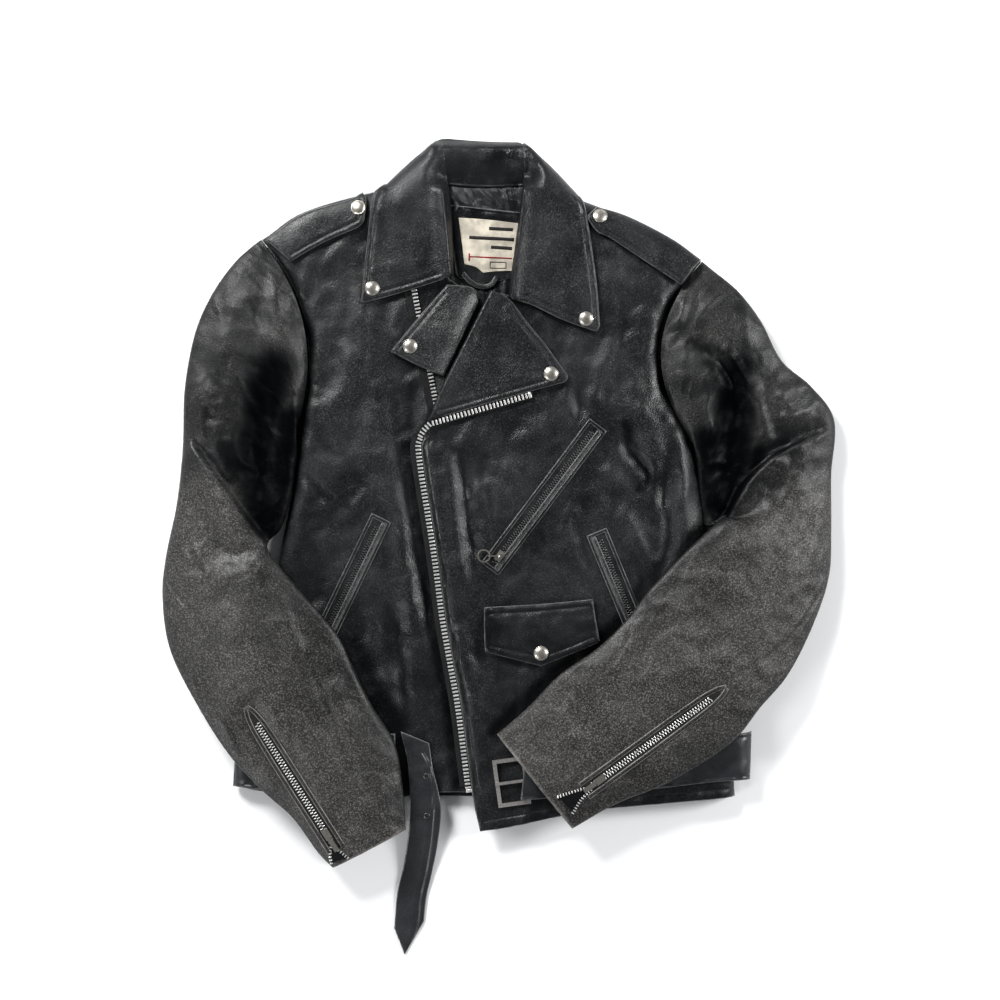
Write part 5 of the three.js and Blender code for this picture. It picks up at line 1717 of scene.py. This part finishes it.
closed_zip("cuff_teeth_right", CUFF_RIGHT, RIGHT_CUFF_TOP, "forearm_right", TEETH, "cuff_zip_right")
closed_zip("cuff_teeth_left", CUFF_LEFT, LEFT_CUFF_TOP, "forearm_left", TEETH, "cuff_zip_left")
closed_zip("chest_teeth", CHEST, LEFT_TOP - 0.4, "jacket", DARK_TEETH, "chest_zip", 2.7, 1.45)
closed_zip("hand_teeth_right", HAND_RIGHT, RIGHT_TOP - 0.4, "jacket", DARK_TEETH, "hand_zip_right", 2.7, 1.45)
closed_zip("hand_teeth_left", HAND_LEFT, LEFT_TOP - 0.4, "jacket", DARK_TEETH, "hand_zip_left", 2.7, 1.45)

# %% Cuff tapes and the turned edges beside them
def cuff_edges(side, zip_frame, level, body):
    start, way, length = zip_frame
    normal = np.array([-way[1], way[0]])
    line = zip_ends(zip_frame, 8)
    ribbon(f"cuff_tape_{side}", line, 6.8, flat_at(level - 0.15), TAPE_THICK, TAPE, body)
    for label, sign in (("upper", 1), ("lower", -1)):
        edge_line = [start - way * 10 + normal * sign * 7.6, start + way * (length * 0.8) + normal * sign * 7.2,
            start + way * (length + 4) + normal * sign * 5.0, start + way * (length + 17) + normal * sign * 0.8]
        ribbon_line = smooth([tuple(p) for p in edge_line], 2.5)
        edge = np.vstack([beside(ribbon_line, 2.3), beside(ribbon_line, -2.3)[::-1]])
        lip = panel(f"cuff_lip_{side}_{label}", edge, flat_at(level - 0.9), thick=2.4, step=2.4,
            roll=2.0, material=SLEEVE_LEATHER, fade_and_painted_light=flat_at(0.35))
        settle(lip, body, "leather")


cuff_edges("right", CUFF_RIGHT, RIGHT_CUFF_TOP, "forearm_right")
cuff_edges("left", CUFF_LEFT, LEFT_CUFF_TOP, "forearm_left")

# %% End stops, the pin and the eyelets
stop_model = model_block(3.2, 6.4, 2.4, 0.5, 0.3, 0.5, 2)
lapel_end = np.array(lapel_row[0])
placed_copy(stop_model, "lapel_end_stop", at_place(*lapel_end, LEFT_LEAF + 0.2, 0.27), TEETH, "lapel_left",
    "teeth")
pin_spot = np.array([(-30.0, -243.0)])
placed_copy(stop_model, "main_pin", at_place(*pin_spot[0], float(main_zip_level(pin_spot)[0]), -1.45), TEETH,
    "jacket",
    "teeth")

# An eyelet is a rolled rim round a sunk middle
eyelet_model = model_round(32, 3.1, 0.8, ((0.3, 0.25), (0.5, 0.0), (0.3, -0.3), (0.15, -0.5), (1.0, -0.02)),
    0.12)
HOLE_DARK = cloth("eyelet_hole", (0.004, 0.004, 0.004, 1), 0.9, 1500.0, 0.00001)
for number, (x, y) in enumerate(EYELETS, 1):
    spot = np.array([(x, y)])
    eyelet = placed_copy(eyelet_model, f"eyelet_{number}", at_place(x, y, float(tail_level(spot)[0]) + 2.2),
        DARK_TEETH,
        "belt_tail")
    eyelet.data.materials.append(HOLE_DARK)
    for face in eyelet.data.polygons:
        away = math.hypot(face.center.x / MM - x, face.center.y / MM - y)
        face.material_index = int(away < 1.9 and face.normal.z > 0.5)

# %% The open end of each cuff: the rows part below the slider, and a dark gusset shows between them
SPLITS = {
    "left": ([(90, -236.5), (76, -240), (58, -246)], [(91, -239), (82, -248), (73, -262)], LEFT_CUFF_TOP,
    "forearm_left"),
    "right": ([(-164, -296), (-157, -302), (-150, -307.5)], [(-167, -297), (-168, -305), (-166.5, -313)],
    RIGHT_CUFF_TOP,
        "forearm_right"),
}
for side, (upper, lower, level, body) in SPLITS.items():
    places = []
    for line in (upper, lower):
        places += teeth_along(smooth(line, 2.0), flat_at(level - 0.4), 3.0)
    row_of(f"cuff_split_teeth_{side}", small_tooth, places, TEETH, body, "teeth")
    gusset_edge = outline(upper, [upper[-1], lower[-1]], lower[::-1], [lower[0], upper[0]], step=2.0)
    gusset = panel(f"cuff_gusset_{side}", gusset_edge, flat_at(level - 0.75), thick=0.8, step=2.2,
        roll=0.5, edge_wear=False)
    settle(gusset, body, "leather")

# %% [markdown]
# ## Pockets
# Each slanted pocket is a long window with a frame stitched round it. A welt covers most of the window and the
# zip's dark teeth show along one side.

# %% A pocket's frame, welt and tape
def pocket(name, zip_frame, top, body, node_name, welt_side):
    start, way, length = zip_frame
    normal = np.array([-way[1], way[0]])

    def at(along, across):
        return tuple(start + way * along + normal * across)

    over, half = 7.0, 11.0
    outer = [at(-over, -half), at(length + over, -half), at(length + over, half), at(-over, half)]
    hole = [at(-over + 4, -half + 4), at(length + over - 4, -half + 4), at(length + over - 4, half - 4),
        at(-over + 4, half - 4)]
    edge = outline(*[[outer[i], outer[(i + 1) % 4]] for i in range(4)], step=2.5)
    inner = outline(*[[hole[i], hole[(i + 1) % 4]] for i in range(4)], step=2.5)
    frame_panel = panel(f"{name}_frame", edge, flat_at(top - 0.6), thick=1.9, holes=[inner], step=2.4,
        roll=1.3, fade_and_painted_light=flat_at(0.15))
    settle(frame_panel, body, "leather", node_name)
    declare(edge)
    ribbon(f"{name}_tape", zip_ends(zip_frame, 5), 7.4, flat_at(top - 0.75), TAPE_THICK, TAPE, body)
    w0, w1 = (2.4, half - 4.2) if welt_side > 0 else (-half + 4.2, -2.4)
    strip = outline([at(-3, w0), at(length + 3, w0)], [at(length + 3, w0), at(length + 3, w1)],
        [at(length + 3, w1), at(-3, w1)], [at(-3, w1), at(-3, w0)], step=2.5)
    # The welt goes almost fully to the worn grey: worn finish, and beyond it a painted highlight that makes the
    # strip look lit.
    welt = panel(f"{name}_welt", strip, lambda p: top - 0.1 + 0.25 * rumple(p, 14, 2.0), thick=1.5, step=2.4,
        roll=1.6,
        fade_and_painted_light=flat_at(0.95))
    settle(welt, body, "leather")


pocket("chest_pocket", CHEST, LEFT_TOP, "jacket", "chest_welt", -1)
pocket("hand_pocket_right", HAND_RIGHT, RIGHT_TOP, "jacket", "hand_welt_right", -1)
pocket("hand_pocket_left", HAND_LEFT, LEFT_TOP, "jacket", "hand_welt_left", 1)

# %% [markdown]
# ## Sliders, pulls, the ring and the buckle
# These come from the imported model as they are, because their shapes are already right. They only need metal in
# place of its plain colours: brushed for the buckle, and aged nickel for the rest and for the studs.

# %% Carried-over hardware gets its metal
CARRIED = ["main_slider", "chest_slider", "chest_link", "chest_ring", "hand_slider_right", "hand_slider_left",
    "cuff_slider_right", "cuff_slider_left", "cuff_pull_right", "cuff_pull_left", "buckle_frame",
    "buckle_prong",
    "collar_right_stud", "collar_left_stud", "lapel_right_stud", "lapel_left_stud", "epaulet_right_stud",
    "epaulet_left_stud", "pocket_flap_stud"]
for name in CARRIED:
    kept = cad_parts[name]
    finish_metal = BUCKLE_METAL if name.startswith("buckle") else NICKEL
    if kept.material_slots:
        for slot_ in kept.material_slots:
            slot_.material = finish_metal
    else:
        kept.data.materials.append(finish_metal)

# %% Clear away the models that were only copied from
for model in (snap_model, tooth, small_tooth, stop_model, eyelet_model):
    bpy.data.objects.remove(model, do_unlink=True)

# %% [markdown]
# ## Finish

# %% Update the scene
bpy.context.view_layer.update()
